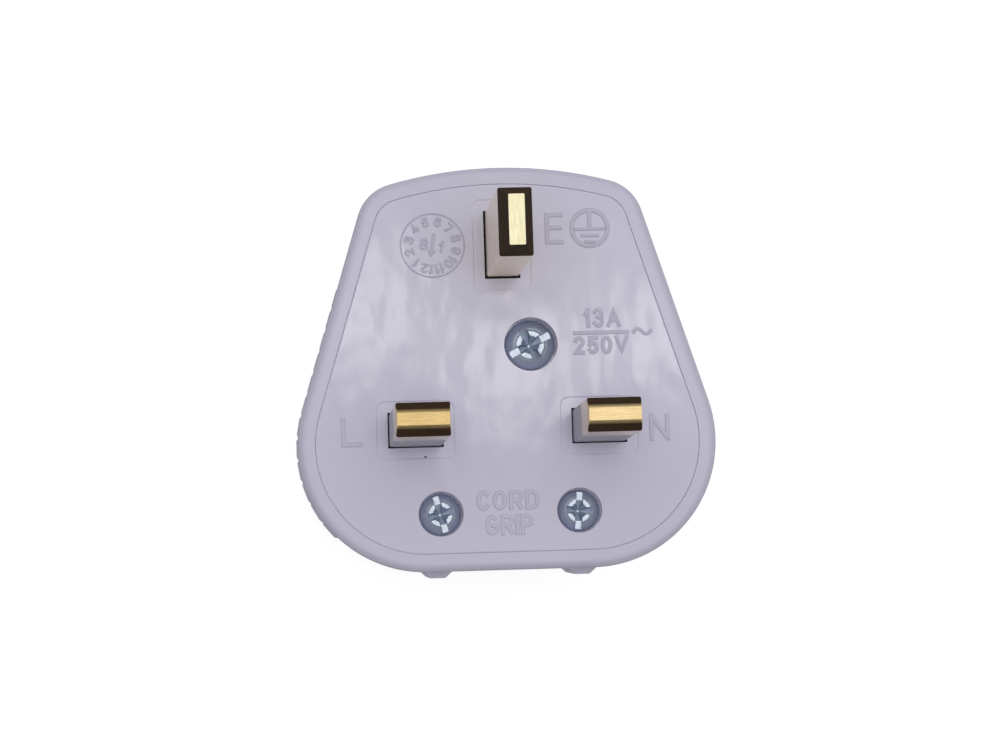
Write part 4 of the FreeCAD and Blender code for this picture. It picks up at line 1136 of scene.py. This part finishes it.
class PLUG_OT_make_marks(bpy.types.Operator):
    """Make the raised terminal letters, earth sign, rating, cord grip words and date dial"""

    bl_idname = "plug.make_marks"
    bl_label = "Make marks"

    def execute(self, context):
        marks = context.scene.plug_marks
        rgb = context.scene.plug_colours.mark
        # Painted shade: darker copies of the mark plastic
        darker = [ETCHED_PAINTED_SHADE * c for c in rgb]
        # Painted shade on the sloped edges of the marks
        plain = plastic_finish("raised_white_mark", rgb, **MARK_SKIN, painted_slope_shade=MARK_EDGE_PAINTED_SHADE)
        etched = plastic_finish("etched_white_mark", darker, **MARK_SKIN, painted_slope_shade=ETCHED_EDGE_PAINTED_SHADE)
        rating = boxed_words(RATING_BOXES, WORD_STROKE) + word_marks("~", SWUNG_BOX, SWUNG_STROKE)
        rating.append(raised([bar(*RATING_LINE)]))
        pieces = {
            "terminal_letters": (plain, boxed_words(LETTER_BOXES, LETTER_STROKE)),
            "cord_grip_words": (plain, boxed_words(GRIP_BOXES, WORD_STROKE)),
            "earth_letter": (etched, boxed_words(EARTH_LETTER_BOXES, LETTER_STROKE)),
            "earth_sign": (etched, earth_sign(marks)),
            "rating_marks": (etched, rating),
            "date_dial": (etched, date_dial(marks)),
        }
        for name, (finish, meshes) in pieces.items():
            new_piece(name, joined(name, meshes), finish, "white_plastic")
        return {"FINISHED"}


def aimed(place, target, up):
    """A matrix that stands at a place and looks along its -Z at a target."""
    back = (place - target).normalized()
    right = up.cross(back).normalized()
    turn = Matrix((right, back.cross(right), back)).transposed()
    return Matrix.Translation(place) @ turn.to_4x4()


def soft_lamp(name, place, size, power, rgb):
    """A rectangular lamp that shines on the plug."""
    lamp = bpy.data.lights.new(name, "AREA")
    lamp.shape = "RECTANGLE"
    lamp.size, lamp.size_y = size
    lamp.energy = power
    lamp.color = rgb
    held = bpy.data.objects.new(name, lamp)
    held.matrix_world = aimed(place, Vector((0.0, 0.0, FACE_Z)), Vector((0.0, 1.0, 0.0)))
    bpy.context.scene.collection.objects.link(held)


def floor_finish():
    """A white floor that keeps the plug's shadow and stays white far away and in reflections."""
    material, graph, shader, place = new_material("white_floor")
    away = graph.vectors("LENGTH", place)["Value"]
    glow = graph.ramp(away, FLOOR_NEAR, FLOOR_FAR, FLOOR_GLOW_NEAR, FLOOR_GLOW_FAR)
    path = graph.add("ShaderNodeLightPath").outputs
    seen = graph.math("MAXIMUM", path["Is Camera Ray"], path["Is Glossy Ray"])
    seen = graph.math("MAXIMUM", seen, path["Is Transmission Ray"])
    grain = graph.noise(place, FLOOR_GRAIN_SCALE)
    base = graph.mix(grain, shade(FLOOR_COLOUR, FLOOR_SHADES[0]), shade(FLOOR_COLOUR, FLOOR_SHADES[1]))
    wire(graph, shader, {"Base Color": base})
    graph.tree.links.new(graph.times(glow, seen), shader.inputs["Emission Strength"])
    shader.inputs["Emission Color"].default_value = (1.0, 1.0, 1.0, 1.0)
    shader.inputs["Roughness"].default_value = 1.0
    shader.inputs["Specular IOR Level"].default_value = 0.0
    return material


class PLUG_OT_set_stage(bpy.types.Operator):
    """Set the floor, the lamps, the surroundings and the camera"""

    bl_idname = "plug.set_stage"
    bl_label = "Set stage"

    def execute(self, context):
        stage = context.scene.plug_stage
        work = bmesh.new()
        bmesh.ops.create_circle(work, cap_ends=True, segments=stage.segments, radius=stage.floor_radius)
        mesh = bpy.data.meshes.new("floor")
        work.to_mesh(mesh)
        work.free()
        mesh.materials.append(floor_finish())
        floor = bpy.data.objects.new("floor", mesh)
        floor.location.z = CAD_BOX[0][2] - FLOOR_DROP
        context.scene.collection.objects.link(floor)

        for place in WINDOW_PLACES:
            soft_lamp("window", place, WINDOW_SIZE, stage.window_power, WINDOW_COLOUR)
        self.set_sky(context, stage)
        self.set_camera(context, stage)
        context.scene.view_settings.view_transform = "Standard"
        return {"FINISHED"}

    def set_sky(self, context, stage):
        """Even grey surroundings that are brighter overhead, a little towards the crown."""
        sky = bpy.data.worlds.new("plain_sky")
        sky.use_nodes = True
        sky.node_tree.nodes.clear()
        graph = Graph(sky.node_tree)
        way = graph.add("ShaderNodeTexCoord").outputs["Generated"]
        rise = graph.vectors("DOT_PRODUCT", way, SKY_AXIS)["Value"]
        strength = graph.ramp(rise, *SKY_EDGE, stage.sky_low, stage.sky_high)
        light = graph.add("ShaderNodeBackground", {"Color": SKY_COLOUR, "Strength": strength})
        graph.add("ShaderNodeOutputWorld", {"Surface": light.outputs[0]})
        context.scene.world = sky

    def set_camera(self, context, stage):
        """The camera at the photograph's place, with its lens."""
        camera = bpy.data.cameras.new("camera")
        camera.lens = stage.lens
        camera.sensor_width = stage.sensor
        camera.sensor_fit = "HORIZONTAL"
        camera.clip_start = CLIP_START
        held = bpy.data.objects.new("camera", camera)
        held.matrix_world = aimed(CAMERA_PLACE, CAMERA_TARGET, CAMERA_UP)
        context.scene.collection.objects.link(held)
        context.scene.camera = held


OPERATORS = (
    PLUG_OT_dress_housing,
    PLUG_OT_dress_pins,
    PLUG_OT_dress_works,
    PLUG_OT_make_screws,
    PLUG_OT_make_marks,
    PLUG_OT_set_stage,
)


class PLUG_PT_sidebar(bpy.types.Panel):
    """Steps and sizes of the plug"""

    bl_idname = "PLUG_PT_sidebar"
    bl_label = "Three-pin plug"
    bl_space_type = "VIEW_3D"
    bl_region_type = "UI"
    bl_category = "Plug"

    def draw(self, context):
        for operator in OPERATORS:
            self.layout.operator(operator.bl_idname)
        for group in SETTINGS:
            settings = getattr(context.scene, group)
            column = self.layout.column(heading=group)
            for name in settings.__annotations__:
                column.prop(settings, name)


SETTINGS = {
    "plug_colours": PlugColours,
    "plug_marks": PlugMarks,
    "plug_screws": PlugScrews,
    "plug_stage": PlugStage,
}


def register():
    """Register the settings, the steps and the panel."""
    for name, kind in SETTINGS.items():
        bpy.utils.register_class(kind)
        setattr(bpy.types.Scene, name, PointerProperty(type=kind))
    for kind in OPERATORS + (PLUG_PT_sidebar,):
        bpy.utils.register_class(kind)


def unregister():
    """Take back what register did."""
    for kind in reversed(OPERATORS + (PLUG_PT_sidebar,)):
        bpy.utils.unregister_class(kind)
    for name, kind in SETTINGS.items():
        delattr(bpy.types.Scene, name)
        bpy.utils.unregister_class(kind)


def main():
    """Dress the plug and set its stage."""
    register()
    bpy.ops.plug.dress_housing()
    bpy.ops.plug.dress_pins()
    bpy.ops.plug.dress_works()
    bpy.ops.plug.make_screws()
    bpy.ops.plug.make_marks()
    bpy.ops.plug.set_stage()


if __name__ == "__main__":
    main()
